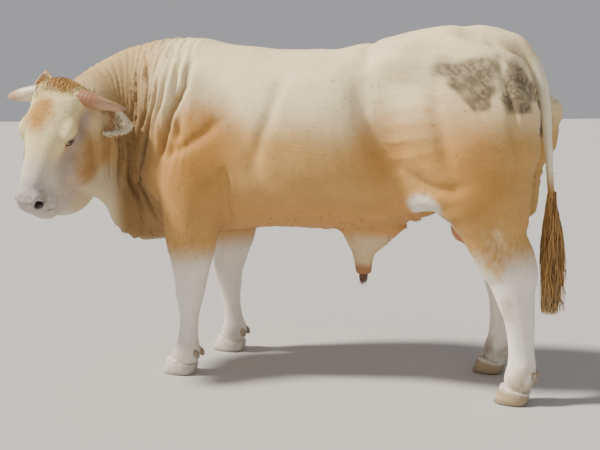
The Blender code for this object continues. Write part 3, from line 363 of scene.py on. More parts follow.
def head_forms():
    """Skull, jaw, cheeks, brows, horn bases, muzzle and lips."""
    skull = [  # along, left, out, half width, towards the forehead, towards the throat
        (-0.015, 0, -0.085, 0.106, 0.070, 0.120), (0.05, 0, -0.085, 0.122, 0.088, 0.130),
        (0.13, 0, -0.085, 0.126, 0.096, 0.130), (0.21, 0, -0.090, 0.108, 0.090, 0.120),
        (0.28, 0, -0.100, 0.084, 0.085, 0.105), (0.35, 0, -0.106, 0.072, 0.078, 0.095),
        (0.41, 0, -0.110, 0.063, 0.073, 0.080), (0.464, 0, -0.112, 0.062, 0.066, 0.066),
        (0.487, 0, -0.112, 0.057, 0.058, 0.058)]
    jaw = [
        (0.08, 0, -0.190, 0.100, 0.070, 0.090), (0.18, 0, -0.205, 0.108, 0.080, 0.105),
        (0.27, 0, -0.220, 0.098, 0.070, 0.110), (0.35, 0, -0.220, 0.080, 0.055, 0.100),
        (0.41, 0, -0.212, 0.066, 0.045, 0.070), (0.456, 0, -0.200, 0.055, 0.035, 0.046)]
    throat = [
        (0.16, 0, -0.335, 0.102, 0.10, 0.115), (0.24, 0, -0.335, 0.112, 0.10, 0.122),
        (0.31, 0, -0.320, 0.106, 0.09, 0.104), (0.37, 0, -0.282, 0.090, 0.06, 0.078),
        (0.41, 0, -0.245, 0.070, 0.05, 0.052), (0.45, 0, -0.215, 0.052, 0.035, 0.034)]
    forms = [
        head_sweep(skull, power=2.4, blend=0.03, end=0.025),
        head_sweep(jaw, power=2.2, blend=0.03, end=0.025),
        head_sweep(throat, power=2.5, blend=0.03, end=0.03)]
    for s in (-1, 1):
        forms += [
            head_blob((0.20, s * 0.094, -0.190), (0.125, 0.046, 0.120), blend=0.03),        # cheek
            head_blob((0.178, s * 0.096, -0.038), (0.052, 0.032, 0.030), blend=0.022),       # brow
            head_blob((0.340, s * 0.052, -0.135), (0.108, 0.034, 0.062), blend=0.034),     # upper jaw
            head_blob((0.105, s * 0.148, -0.080), (0.060, 0.032, 0.044), blend=0.025, hollow=True),
            head_blob((0.026, s * 0.090, -0.040), (0.038, 0.040, 0.036), blend=0.030),       # horn base
            head_blob((0.075, s * 0.110, -0.110), (0.040, 0.040, 0.040), blend=0.030),       # ear base
            head_blob((0.255, s * 0.128, -0.066), (0.062, 0.034, 0.036), blend=0.020, hollow=True),
            head_blob((0.468, s * 0.038, -0.084), (0.034, 0.025, 0.031), blend=0.020),       # nostril wing
            head_blob((0.408, s * 0.060, -0.142), (0.066, 0.028, 0.044), blend=0.024),     # upper lip
        ]
    forms += [
        head_blob((-0.005, 0, -0.040), (0.050, 0.095, 0.055), blend=0.03),                     # poll
        head_blob((0.474, 0, -0.116), (0.038, 0.056, 0.054), blend=0.02),                      # nose
        head_blob((0.452, 0, -0.208), (0.042, 0.055, 0.033), blend=0.02),                      # chin
    ]
    return forms


def eye_axes(s):
    """The eye's gaze, the line of its slit towards the nose, and upwards between the lids."""
    gaze = head_way(0.42, s * 0.86, 0.22)
    slit = head_way(0.80, s * -0.42, -0.12)
    slit = unit(slit - (slit @ gaze) * gaze)
    up = np.cross(gaze, slit)
    return gaze, slit, up * np.sign(up @ HEAD_AXES[:, 2])


def face_details():
    """Lids over each eye, a bent funnel for each nostril, and the line of the mouth."""
    forms = []
    for s in (1, -1):
        centre = on_head(EYE[0], s * EYE[1], EYE[2])
        gaze, slit, up = eye_axes(s)
        forms.append(Blob(centre, (EYE_RADIUS + GAP,) * 3, blend=0.003, hollow=True))
        t = np.linspace(-1, 1, 9)
        bow = np.cos(0.5 * math.pi * t)
        for lift, fat, open_by in ((1, 0.0092, 0.0034), (-1, 0.0070, 0.0022)):
            out = (EYE_RADIUS + 0.0012) * np.sqrt(np.maximum(0.0, 1 - 0.55 * t * t)) * (0.94 + 0.06 * bow)
            path = centre + out[:, None] * gaze + 0.0275 * t[:, None] * slit
            path = path + (lift * (open_by + 0.6 * fat) * bow)[:, None] * up
            radius = fat * (0.40 + 0.60 * bow)
            rows = np.column_stack([path, radius, radius, radius])
            forms.append(Sweep(rows, up=up, blend=0.006, end=0.003, steps=2))
        funnel = [  # along, left, out, half width, half height
            (0.524, 0.053, -0.080, 0.013, 0.021), (0.496, 0.050, -0.083, 0.0125, 0.020),
            (0.478, 0.043, -0.090, 0.0105, 0.016), (0.456, 0.034, -0.098, 0.008, 0.011),
            (0.438, 0.030, -0.104, 0.005, 0.006)]
        groove = [
            (0.510, 0.058, -0.066, 0.0075, 0.0075), (0.497, 0.069, -0.060, 0.0065, 0.0065),
            (0.480, 0.075, -0.062, 0.0055, 0.0055), (0.462, 0.074, -0.070, 0.004, 0.004)]
        for stations, blend, end in ((funnel, 0.006, 0.006), (groove, 0.008, 0.004)):
            rows = [(*on_head(a, s * l, o), wide, tall, tall) for a, l, o, wide, tall in stations]
            forms.append(Sweep(rows, up=HEAD_AXES[:, 2], blend=blend, end=end, hollow=True))
    half = [(0.376, 0.080, -0.196), (0.388, 0.078, -0.194), (0.412, 0.077, -0.190), (0.438, 0.071, -0.184),
            (0.466, 0.059, -0.178), (0.492, 0.038, -0.174)]
    points = half + [(0.505, 0.0, -0.172)] + [(a, -l, o) for a, l, o in half[::-1]]
    rows = [(*on_head(*p), 0.012, 0.0032, 0.0032) for p in points]
    forms.append(Sweep(rows, up=HEAD_AXES[:, 2], blend=0.005, end=0.004, hollow=True))
    return forms


def small_forms():
    """Tail, sheath and scrotum, which grow from the trunk without a seam."""
    tail = [(*p, r, r * 0.9, r * 0.9) for p, r in zip(TAIL_PATH, TAIL_RADII)]
    sheath = [(x, y, z, wide, deep, deep) for x, y, z, wide, deep in SHEATH]
    heights = (0.845, 0.810, 0.775, 0.735, 0.690, 0.650, 0.620, 0.606)
    widths = (0.030, 0.034, 0.042, 0.054, 0.062, 0.058, 0.040, 0.015)
    bag = [(0.572 + 0.02 * (0.80 - z), 0, z, w, w * 1.05, w * 1.05) for z, w in zip(heights, widths)]
    return [
        Sweep(tail, up=(1, 0, 0.3), blend=0.012, end=0.015),
        Sweep(sheath, up=(-1, 0, 0), blend=0.05, end=0.02),
        Sweep(bag, up=(1, 0, 0), blend=0.02, end=0.012)]


def smooth_least(a, b, k):
    """The lesser of two distances, rounded where they are within k of each other."""
    h = np.clip(0.5 + 0.5 * (b - a) / k, 0, 1)
    return b * (1 - h) + a * h - k * h * (1 - h)


FAR = 0.08               # distance past which the forms no longer matter
COARSE = 3               # fine cells to a coarse one


class Body:
    """Forms joined smoothly, as one distance from their shared surface."""

    def __init__(self, forms):
        self.forms = forms

    def distance(self, p):
        d = np.full(len(p), FAR)
        for form in self.forms:
            room = form.blend + FAR
            near = ((p > form.low - room) & (p < form.high + room)).all(axis=1)
            if not near.any():
                continue
            new = form.distance(p[near])
            if form.hollow:
                d[near] = -smooth_least(-d[near], new, form.blend)
            else:
                d[near] = smooth_least(d[near], new, form.blend)
        return d + SKIN_DEPTH

    def slope(self, p, step=0.0008):
        """The distance's gradient, by central differences."""
        ways = []
        for axis in np.eye(3) * step:
            ways.append((self.distance(p + axis) - self.distance(p - axis)) / (2 * step))
        return np.stack(ways, 1)

    def settle(self, p, rounds):
        """Points brought onto the surface by Newton steps down the gradient, none over 5 mm."""
        for _ in range(rounds):
            slope = self.slope(p)
            move = self.distance(p)[:, None] * slope / np.maximum((slope**2).sum(1), 0.05)[:, None]
            p = p - move * np.minimum(1, 0.005 / np.maximum(np.linalg.norm(move, axis=1), 1e-9))[:, None]
        return p


def finer(values):
    """Values on a coarse grid, carried to the fine one by straight lines along each axis."""
    share = np.arange(COARSE) / COARSE
    for axis in range(3):
        v = np.moveaxis(values, axis, 0)
        steps = v[:-1, None] * (1 - share)[None, :, None, None] + v[1:, None] * share[None, :, None, None]
        v = np.concatenate([steps.reshape(-1, *v.shape[1:]), v[-1:]])
        values = np.moveaxis(v, 0, axis)
    return values


def surface(body, low, high, step):
    """The zero of the body's distance inside a box, as points and quads.

    The distance is found on a coarse grid, and again on the fine one near the surface."""
    low, high = np.asarray(low, float), np.asarray(high, float)
    wide = COARSE * step
    counts = np.ceil((high - low) / wide).astype(int) + 1

    def grid(number, size):
        axes = [low[i] + size * np.arange(number[i]) for i in range(3)]
        return np.stack(np.meshgrid(*axes, indexing="ij"), -1).reshape(-1, 3)

    value = finer(body.distance(grid(counts, wide)).reshape(counts))
    near = np.abs(value) < 1.5 * wide
    value[near] = body.distance(grid(np.array(value.shape), step)[near.ravel()])
    volume = openvdb.FloatGrid(FAR)
    volume.copyFromArray(np.ascontiguousarray(value, np.float32))
    points, quads = volume.convertToQuads(0.0)
    return low + step * np.asarray(points, float), np.asarray(quads)


def refine(mesh_points, faces, inside):
    """Split each edge in a region at its middle, and each face there into as many smaller ones."""
    mesh = bpy.data.meshes.new("work")
    mesh.from_pydata(mesh_points.tolist(), [], faces)
    work = bmesh.new()
    work.from_mesh(mesh)
    bpy.data.meshes.remove(mesh)
    chosen = inside(mesh_points)
    edges = [e for e in work.edges if chosen[e.verts[0].index] and chosen[e.verts[1].index]]
    bmesh.ops.subdivide_edges(work, edges=edges, cuts=1, use_grid_fill=True)
    work.verts.index_update()
    points = np.array([v.co for v in work.verts])
    faces = [[v.index for v in f.verts] for f in work.faces]
    work.free()
    return points, faces


def triangles_of(faces):
    """Each face as a fan of triangles, in one array."""
    fans = {}
    for face in faces:
        fans.setdefault(len(face), []).append(face)
    made = []
    for size, group in fans.items():
        group = np.array(group)
        made += [group[:, [0, i, i + 1]] for i in range(1, size - 1)]
    return np.concatenate(made)


def face_normals(points, triangles):
    """Twice the area of each triangle, along its normal."""
    a, b, c = (points[triangles[:, i]] for i in range(3))
    return np.cross(b - a, c - a)


def point_normals(points, triangles):
    """The mean of the normals round each point, at length one."""
    crossed = face_normals(points, triangles)
    normals = np.zeros_like(points)
    for i in range(3):
        np.add.at(normals, triangles[:, i], crossed)
    return unit(normals)


# Folds and markings of the hide

NECK_LINE = spline(NECK, 8)[:, :3]
NECK_FOLDS = (  # depth, half width, and places by metres up the neck and height
    (0.022, 0.012, ((0.330, 1.41), (0.285, 1.28), (0.295, 1.16), (0.360, 1.05))),
    (0.018, 0.011, ((0.200, 1.36), (0.215, 1.22), (0.255, 1.13), (0.300, 1.03))),
    (0.026, 0.016, ((0.070, 1.39), (0.075, 1.28), (0.115, 1.21), (0.170, 1.05), (0.200, 0.94))),
    (0.020, 0.012, ((0.385, 1.34), (0.375, 1.15), (0.420, 1.06), (0.440, 0.96))),
    (0.018, 0.012, ((0.600, 1.14), (0.560, 0.97), (0.555, 0.83))),
    (0.022, 0.013, ((0.505, 1.10), (0.490, 0.86), (0.450, 0.78), (0.420, 0.68))),
    (0.024, 0.014, ((0.260, 1.12), (0.320, 0.96), (0.430, 0.84), (0.370, 0.76), (0.310, 0.68))),
    (0.014, 0.010, ((0.670, 1.08), (0.635, 0.87))),
    (0.015, 0.010, ((0.170, 1.43), (0.160, 1.32), (0.175, 1.22), (0.215, 1.10))),
    (0.012, 0.010, ((0.125, 1.41), (0.120, 1.30), (0.135, 1.18))),
    (0.014, 0.010, ((0.450, 1.32), (0.430, 1.18), (0.470, 1.02))),
    (0.012, 0.009, ((0.245, 1.40), (0.245, 1.26), (0.270, 1.15))))
MUSCLE_LINES = (  # depth, half width, and places by x and height, on both sides
    # behind the shoulder, over the first ribs, along the blade, over the triceps and behind the elbow
    (0.026, 0.045, ((-0.48, 1.31), (-0.37, 1.17), (-0.32, 1.09), (-0.25, 0.97), (-0.20, 0.87))),
    (0.014, 0.030, ((-0.13, 1.29), (-0.18, 1.13), (-0.23, 1.00), (-0.25, 0.93))),
    (0.017, 0.026, ((-0.62, 1.35), (-0.585, 1.20), (-0.60, 1.08), (-0.64, 0.98))),
    (0.015, 0.026, ((-0.66, 0.98), (-0.56, 1.02), (-0.46, 1.08), (-0.40, 1.14))),
    (0.022, 0.018, ((-0.38, 0.92), (-0.40, 0.82), (-0.43, 0.70))),
    # before the thigh, down the thigh, down the buttock, over the stifle and before the cord of the hock
    (0.030, 0.045, ((0.20, 1.30), (0.215, 1.20), (0.24, 1.12), (0.29, 1.01), (0.36, 0.92), (0.47, 0.865))),
    (0.016, 0.034, ((0.48, 1.27), (0.52, 1.12), (0.56, 0.98), (0.60, 0.89))),
    (0.018, 0.016, ((0.735, 1.36), (0.774, 1.24), (0.805, 1.13), (0.83, 0.99), (0.82, 0.86))),
    (0.012, 0.024, ((0.42, 0.885), (0.50, 0.855), (0.58, 0.855), (0.64, 0.885))),
    (0.010, 0.018, ((0.72, 0.70), (0.78, 0.62), (0.815, 0.53))),
    # under the edge of the rump and along the belly
    (0.012, 0.050, ((0.34, 1.46), (0.46, 1.40), (0.58, 1.38), (0.70, 1.33))),
    (0.012, 0.045, ((-0.10, 0.86), (0.08, 0.80), (0.26, 0.80), (0.40, 0.84))))


def up_neck(points):
    """How far up the neck's middle line each point is, in metres, and how far to the left of it."""
    steps = np.diff(NECK_LINE, axis=0)
    lengths = np.linalg.norm(steps, axis=1)
    starts = np.concatenate([[0], np.cumsum(lengths)[:-1]])
    best = np.full(len(points), np.inf)
    along, left = np.zeros(len(points)), np.zeros(len(points))
    for start, step, length, origin in zip(starts, steps, lengths, NECK_LINE):
        flat = points - origin
        t = (flat[:, :2] @ step[:2]) / (step[:2] @ step[:2])
        t_in = np.clip(t, 0, 1)
        away = flat[:, :2] - t_in[:, None] * step[:2]
        square = (away**2).sum(1)
        closer = square < best
        best[closer] = square[closer]
        along[closer] = start + t_in[closer] * length
        side = np.array([-step[1], step[0]]) / np.linalg.norm(step[:2])
        left[closer] = away[closer] @ side
    return along, left


def near_line(flat, line, wide):
    """A bell about a line on a plane: 1 on it, fading over its half width and towards its two ends."""
    line = np.asarray(line, float)
    steps = np.diff(line, axis=0)
    lengths = np.linalg.norm(steps, axis=1)
    starts = np.concatenate([[0], np.cumsum(lengths)[:-1]])
    nearest, along = np.full(len(flat), np.inf), np.zeros(len(flat))
    for origin, step, length, start in zip(line, steps, lengths, starts):
        away = flat - origin
        t = np.clip(away @ step / length**2, 0, 1)
        square = ((away - t[:, None] * step) ** 2).sum(1)
        closer = square < nearest
        nearest[closer] = square[closer]
        along[closer] = (start + t * length)[closer]
    share = along / lengths.sum()
    return np.exp(-nearest / wide**2) * np.minimum(1, 0.25 + 4 * share * (1 - share))


def neck_folds(points):
    """How deep each point lies in a fold of the neck, which are fainter on its far side."""
    depth = np.zeros(len(points))
    near = (points[:, 0] < -0.45) & (points[:, 2] > 0.62)
    p = points[near]
    along, left = up_neck(p)
    flat = np.column_stack([along + 0.006 * waves(p, 0.25, 3), p[:, 2] + 0.010 * waves(p, 0.3, 4)])
    side = smooth(0.01, 0.08, left) + 0.35 * smooth(-0.02, -0.10, left)
    total = sum(deep * near_line(flat, line, wide) for deep, wide, line in NECK_FOLDS)
    ridges = 0.0022 * np.sin(along * 150 + 3 * waves(p, 0.25, 5)) * smooth(0.02, 0.10, along)
    ridges = np.maximum(ridges, -0.001) * smooth(0.85, 1.0, p[:, 2])
    depth[near] = (total + ridges) * side * (1 - near_head(p))
    return depth


def fold_depth(points, normals):
    """How deep the hide is pressed in, by the neck's folds and between the muscles."""
    flat = points[:, [0, 2]] + 0.012 * np.column_stack([waves(points, 0.35, 6), waves(points, 0.35, 7)])
    body = 1 - near_head(points)
    lines = sum(deep * near_line(flat, line, wide) for deep, wide, line in MUSCLE_LINES)
    flesh = 0.0016 * (1 + waves(points, 0.11, 8)) * smooth(0.62, 0.75, points[:, 2])
    return neck_folds(points) + lines * smooth(0.25, 0.60, np.abs(normals[:, 1])) * body + flesh * body


def head_mask(points, behind, beside):
    """1 on the head, fading behind the ears and jaw and to either side, over ranges in head lengths."""
    head = head_places(points)
    return smooth(*behind, (head[:, 0] + head[:, 2]) / math.sqrt(2)) * smooth(*beside, np.abs(head[:, 1]))


def near_head(points):
    """1 over the head and the skin just behind it, where no fold of the neck reaches."""
    return head_mask(points, (-0.17, -0.12), (0.20, 0.155))


def in_head(points):
    """1 on the head and 0 on the neck, across a soft line behind the ears and the jaw."""
    return head_mask(points, (-0.15, -0.06), (0.24, 0.17))


def one_side(places):
    """Places folded onto the left side, for what both sides share."""
    return np.column_stack([places[:, 0], np.abs(places[:, 1]), places[:, 2]])


def layered(colour, *layers):
    """A colour with others laid over it in turn, each with its share at each point."""
    for hue, share in layers:
        colour = mixed(colour, hue, share)
    return colour


def round_mask(points, centre, sizes, ragged=0.0, seed=0, core=0.62):
    """1 within the core of an ellipsoid, fading to its rim, which is moved about by noise."""
    far = np.linalg.norm((points - np.asarray(centre)) / np.asarray(sizes), axis=1)
    if ragged:
        far = far + ragged * waves(points, 0.05, seed)
    return smooth(1.0, core, far)


def face_colour(points):
    """The head's markings, in places on the head, with painted shade on the face's side, in the nostrils and
    along the mouth.
    """
    h = head_places(points)
    side = one_side(h)
    along, out = h[:, 0], h[:, 2]
    front = smooth(-0.085, -0.040, out) * smooth(0.42, 0.24, along)
    cheek = round_mask(side, (0.20, 0.12, -0.21), (0.22, 0.11, 0.150), 0.10, 6, 0.35)
    streaks = 0.8 + 0.2 * waves(h * (0.35, 1, 1), 0.020, 16)
    gold = round_mask(h, (0.130, -0.035, 0.0), (0.120, 0.100, 0.09), 0.18, 7, 0.25)
    poll = round_mask(h, (-0.02, 0.02, 0.0), (0.075, 0.11, 0.08), 0.15, 8, 0.3)
    funnel = ((0.522, 0.052, -0.081), (0.496, 0.050, -0.083), (0.456, 0.034, -0.098), (0.438, 0.03, -0.104))
    groove = ((0.508, 0.050), (0.494, 0.062), (0.474, 0.068), (0.456, 0.064))
    lips = ((0.386, -0.198), (0.412, -0.190), (0.466, -0.178), (0.515, -0.172))
    # the slit of each nostril, where painted shade goes
    nostril_slit_shade = near_line(side[:, [0, 1]], groove, 0.006)
    nostril_slit_shade = nostril_slit_shade * smooth(-0.11, -0.095, out) * smooth(-0.035, -0.05, out)
    lids = (EYE[0] + 0.004, EYE[1] + 0.004, EYE[2])
    tear = (EYE[0] + 0.052, 0.090, -0.075)
    return layered(
        mixed((0.72, 0.56, 0.32), TAN, smooth(-0.10, -0.22, out) * 0.8),
        ((0.85, 0.69, 0.35), front),
        # painted shade on the side plane of the face, behind the eye and along the side of the nose
        (FACE_SIDE_SHADE, 0.90 * round_mask(side, (0.15, 0.11, -0.080), (0.15, 0.06, 0.065), 0.10, 5, 0.3)),
        (FACE_SIDE_SHADE, 0.90 * round_mask(side, (0.29, 0.09, -0.115), (0.12, 0.07, 0.075), 0.10, 15, 0.3)),
        ((0.40, 0.225, 0.085), 0.95 * cheek * streaks),
        ((0.60, 0.54, 0.48), 0.80 * smooth(0.27, 0.38, along)),
        ((0.62, 0.50, 0.31), smooth(-0.235, -0.28, out) * smooth(0.14, 0.24, along)),
        ((0.47, 0.215, 0.030), 0.95 * gold),
        ((0.50, 0.25, 0.045), 0.92 * poll),
        (mixed(MUZZLE, (0.56, 0.50, 0.45), 0.5 + 0.5 * waves(h, 0.018, 17)),
         0.90 * smooth(0.395, 0.435, along + 0.10 * (out + 0.12))),
        ((0.60, 0.51, 0.45), 0.75 * smooth(0.38, 0.43, along) * smooth(-0.150, -0.175, out)),
        # painted shade inside each nostril and along its slit
        ((0.05, 0.035, 0.03), 0.95 * smooth(0.16, 0.45, near_line(side, funnel, 0.0165))),
        ((0.16, 0.11, 0.10), 0.75 * nostril_slit_shade),
        # painted shade along the line of the mouth
        ((0.16, 0.10, 0.085), 0.80 * near_line(h[:, [0, 2]], lips, 0.0055)),
        ((0.38, 0.17, 0.11), 0.75 * round_mask(side, lids, (0.040, 0.030, 0.018), 0, 0, 0.5)),
        ((0.42, 0.20, 0.11), 0.40 * round_mask(side, tear, (0.034, 0.020, 0.014), 0.3, 9, 0.3)))


def leg_share(points):
    """How far each point is down its leg, from 0 at the body to 1 at the white part."""
    fore = smooth(0.62, 0.46, points[:, 2])
    hind = smooth(0.66, 0.50, points[:, 2])
    return np.where(points[:, 0] < 0.1, fore, hind)


def on_bag(points):
    """1 on the scrotum, under the hide between the thighs."""
    x, y, z = points.T
    middle = 0.572 + 0.02 * (0.80 - z)
    wide = np.interp(z, (0.60, 0.65, 0.69, 0.735, 0.775, 0.80), (0.045, 0.070, 0.074, 0.066, 0.050, 0.0))
    return smooth(1.15, 1.0, np.hypot(x - middle, y) / np.maximum(wide, 0.01)) * (z > 0.59)


GOLDEN_PATCHES = (  # middle, half sizes, share and seed of shoulder, arm, flank, stifle and thigh
    # the arm's patch darkens the fore quarter as painted shade; the others are golden hair
    ((-0.50, 0.27, 1.02), (0.25, 0.22, 0.30), 0.95, 21), ((-0.60, 0.25, 0.82), (0.22, 0.25, 0.30), 0.55, 19),
    ((0.28, 0.30, 1.00), (0.16, 0.20, 0.28), 0.55, 22), ((0.66, 0.30, 0.88), (0.22, 0.24, 0.24), 0.80, 23),
    ((0.56, 0.26, 1.08), (0.28, 0.26, 0.24), 0.60, 24))


def hide_colour(points):
    """The hide's markings: cream back, tan flanks, golden belly and thighs, white legs, soil and the head,
    with painted sunlight on the back and painted shade on the flanks, neck, arm and creases.
    """
    p = np.asarray(points, float)
    rough = 0.045 * waves(p, 0.45, 11) + 0.015 * waves(p, 0.14, 12)
    x, y, low = p.T
    z = low + rough
    side = one_side(p)
    neck = smooth(-0.62, -0.84, x)
    belly = smooth(0.845, 0.72, z - 0.06 * smooth(0.05, 0.35, x))
    belly = belly * smooth(-0.55, -0.30, x) * smooth(0.58, 0.40, x)
    fold = round_mask(side, (0.47, 0.22, 0.79), (0.10, 0.14, 0.07), 0.1, 25)
    front = round_mask(side, (0.545, 0.20, 0.66), (0.045, 0.14, 0.14), 0.1, 28)
    gaskin = round_mask(side, (0.735, 0.26, 0.62), (0.075, 0.11, 0.17), 0.25, 26, 0.3)
    smear = round_mask(p, (0.775, -0.25, 0.37), (0.035, 0.06, 0.075), 0.5, 27) * ((x > 0.1) & (y < 0))
    colour = layered(
        # cream back over tan flanks: the hair's own colours, with painted sunlight on the back and painted
        # shade on the flanks
        mixed(TAN, CREAM, smooth(1.02, 1.27, z + 0.04 * smooth(-0.3, 0.2, x))),
        # the neck: golden hair darkened with painted shade, deepest low on the neck and least at the crest
        (mixed((0.27, 0.155, 0.060), (0.58, 0.385, 0.155), smooth(1.12, 1.46, z)), 0.92 * neck),
        # painted shade in the creases of the neck's folds
        ((0.16, 0.10, 0.055), 0.62 * smooth(0.006, 0.026, neck_folds(p))),
        ((0.58, 0.29, 0.085), 0.90 * belly),
        # golden patches, the arm's one painted shade
        *((GOLD, share * round_mask(side, middle, sizes, 0.10, seed, 0.25))
          for middle, sizes, share, seed in GOLDEN_PATCHES),
        (WHITE, leg_share(p + 0.4 * rough[:, None])),
        ((0.88, 0.83, 0.72), 0.9 * np.maximum(fold, front)),
        (mixed(GOLD, CREAM, 0.35 + 0.35 * waves(p, 0.030, 29)), 0.9 * gaskin),
        ((0.46, 0.37, 0.27), 0.55 * smear))
    dirt = np.where(x > 0.1, np.where(y < 0, 0.70, 0.85), 0.20)
    soil = mixed((0.46, 0.34, 0.20), (0.27, 0.21, 0.16), y > 0)
    tail = (np.abs(y) < 0.05) & (x > 0.84) & (low < 1.36)
    # the line of painted shade beside the tail
    shade_beside_tail = ((0.715, 1.43), (0.79, 1.355), (0.84, 1.25), (0.866, 1.12), (0.872, 1.00))
    groove = near_line(p[:, [0, 2]], shade_beside_tail, 0.013) * (y > -0.12) * (y < 0.0)
    under = (np.abs(x - 0.14) < 0.13) & (low < 0.66) & (np.abs(y) < 0.12)
    return layered(
        soiled(p, colour),
        (soil, dirt * smooth(0.20, 0.10, low) * smooth(-0.8, 0.3, waves(p, 0.08, 41))),
        (RED_SKIN, on_bag(p)),
        ((0.86, 0.77, 0.58), tail),
        # painted shade in the crease beside the tail, where the hide runs smooth
        ((0.30, 0.21, 0.11), 0.75 * groove),
        (SWITCH_GOLD, tail * smooth(0.93, 0.82, low)),
        ((0.66, 0.49, 0.28), under * smooth(0.66, 0.58, low)),
        ((0.34, 0.15, 0.06), 0.9 * round_mask(p, SHEATH[-1][:3], (0.06, 0.05, 0.055))),
        (face_colour(p), in_head(p)))


SOIL_PATCHES = (  # side, places by x and height down the middle of a patch, and its half width at each
    (-1, ((0.600, 1.345), (0.625, 1.290), (0.660, 1.225), (0.680, 1.165)), (0.125, 0.120, 0.080, 0.040)),
    (-1, ((0.780, 1.345), (0.805, 1.260), (0.812, 1.200), (0.812, 1.150)), (0.028, 0.044, 0.054, 0.052)),
    (1, ((0.835, 1.20), (0.850, 1.14), (0.852, 1.08), (0.850, 1.05)), (0.030, 0.050, 0.050, 0.035)))


def soiled(points, colour):
    """Dried soil on the thigh and the buttock: speckled patches with ragged edges."""
    flat = points[:, [0, 2]] + 0.018 * np.column_stack([waves(points, 0.07, 33), waves(points, 0.06, 34)])
    specks = smooth(-0.55, 0.25, waves(points, 0.018, 35) + 0.7 * waves(points, 0.05, 36))
    grey = mixed(SOIL, (0.22, 0.165, 0.095), 0.5 + 0.5 * waves(points, 0.07, 37))
    for s, line, widths in SOIL_PATCHES:
        line = np.asarray(line)
        middle = np.interp(flat[:, 1], line[::-1, 1], line[::-1, 0])
        wide = np.interp(flat[:, 1], line[::-1, 1], widths[::-1])
        top, bottom = line[0, 1], line[-1, 1]
        inside = smooth(1.15, 0.70, np.abs(flat[:, 0] - middle) / wide)
        inside = inside * smooth(bottom - 0.012, bottom + 0.012, flat[:, 1])
        inside = inside * smooth(top + 0.030, top - 0.015, flat[:, 1]) * (points[:, 1] * s > 0.02)
        colour = mixed(colour, grey, inside * (0.66 + 0.30 * specks))
    return colour


def bare_skin(points):
    """1 where the skin shows, on the muzzle, the lids and the scrotum."""
    h = head_places(points)
    side = one_side(h)
    nose = smooth(0.41, 0.45, h[:, 0] + 0.10 * (h[:, 2] + 0.12)) * smooth(-0.20, -0.15, h[:, 2])
    eye = round_mask(side, EYE, (0.034, 0.030, 0.020))
    bag = on_bag(points) * smooth(0.80, 0.74, points[:, 2])
    return np.clip(in_head(points) * np.maximum(nose, eye) + bag, 0, 1)


# Meshes

def put(name, points, faces, colour, bare=None):
    """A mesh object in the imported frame, with its colours, and how bare it is, at each point."""
    mesh = bpy.data.meshes.new(name)
    corners = faces if isinstance(faces, list) else faces.tolist()
    mesh.from_pydata((np.asarray(points) + SHIFT).tolist(), [], corners)
    hue = np.ones((len(points), 4))
    hue[:, :3] = np.clip(colour, 0, 1)
    mesh.color_attributes.new("Hide", "FLOAT_COLOR", "POINT").data.foreach_set("color", hue.ravel())
    amount = np.zeros(len(points)) if bare is None else bare
    mesh.attributes.new("Bare", "FLOAT", "POINT").data.foreach_set("value", np.asarray(amount, np.float32))
    mesh.shade_smooth()
    obj = bpy.data.objects.new(name, mesh)
    bpy.context.scene.collection.objects.link(obj)
    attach(obj, "root")
    return obj


def finish(obj, material, slot, *nodes):
    """Give a piece its material, and hide the nodes that it stands for; its slot is not used."""
    obj.data.materials.append(material)
    if nodes:
        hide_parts(*nodes)
    return obj


def grid_faces(rows, columns):
    """Quads of a grid of points, row by row, its columns joined round."""
    i, j = np.meshgrid(np.arange(rows - 1), np.arange(columns), indexing="ij")
    k = (j + 1) % columns
    this, following = i * columns, (i + 1) * columns
    return np.stack([this + j, this + k, following + k, following + j], -1).reshape(-1, 4)


def closed_rings(rings):
    """The points and faces of a skin over rings, facing out, each end closed by a fan to its middle."""
    rings = np.asarray(rings, float)
    rows, columns = rings.shape[:2]
    points = np.vstack([rings.reshape(-1, 3), rings[0].mean(0), rings[-1].mean(0)])
    faces = grid_faces(rows, columns).tolist()
    j = np.arange(columns)
    k = (j + 1) % columns
    faces += np.stack([k, j, np.full(columns, rows * columns)], 1).tolist()
    last = (rows - 1) * columns
    faces += np.stack([last + j, last + k, np.full(columns, rows * columns + 1)], 1).tolist()
    triangles = triangles_of(faces)
    volume = (points[triangles[:, 0]] * face_normals(points, triangles)).sum()
    if volume < 0:
        faces = [face[::-1] for face in faces]
    return points, faces


def along_rings(values, columns):
    """Values for each ring, repeated for its points and the two end points."""
    values = np.asarray(values, float)
    spread = np.repeat(values, columns, axis=0)
    return np.concatenate([spread, values[:1], values[-1:]])


# Hair

def unwrap(points):
    """A place on a flat map of the hide for each point, with a tile for the trunk, the head and each leg.

    Across a tile runs the angle about that part's own middle line, and up it the distance along the line."""
    p = np.asarray(points, float)
    head = in_head(p) > 0.5
    h = head_places(p)
    angle = np.where(head, np.arctan2(h[:, 1], h[:, 2] + 0.12), np.arctan2(p[:, 1], p[:, 2] - 1.05))
    u = angle / (2 * math.pi) + 0.5
    v = np.where(head, (h[:, 0] + 0.15) / 0.75, (p[:, 0] + 1.3) / 2.4)
    u, v = 0.02 + 0.46 * np.clip(u, 0, 1), 0.02 + 0.94 * np.clip(v, 0, 1)
    u = np.where(head, u + 0.50, u)
    v = np.where(head, 0.48 * v, v)
    for i, joints in enumerate(LEGS.values()):
        upwards = np.array(joints[::-1])
        middle = np.array([np.interp(p[:, 2], upwards[:, 2], upwards[:, axis]) for axis in (0, 1)])
        leg = (~head) & (p[:, 2] < 0.68) & (np.hypot(p[:, 0] - middle[0], p[:, 1] - middle[1]) < 0.17)
        angle = np.arctan2(p[:, 1] - middle[1], p[:, 0] - middle[0]) / (2 * math.pi) + 0.5
        u = np.where(leg, 0.51 + 0.12 * i + 0.11 * angle, u)
        v = np.where(leg, 0.52 + 0.46 * np.clip(p[:, 2] / 0.70, 0, 1), v)
    return np.stack([u, v], 1)


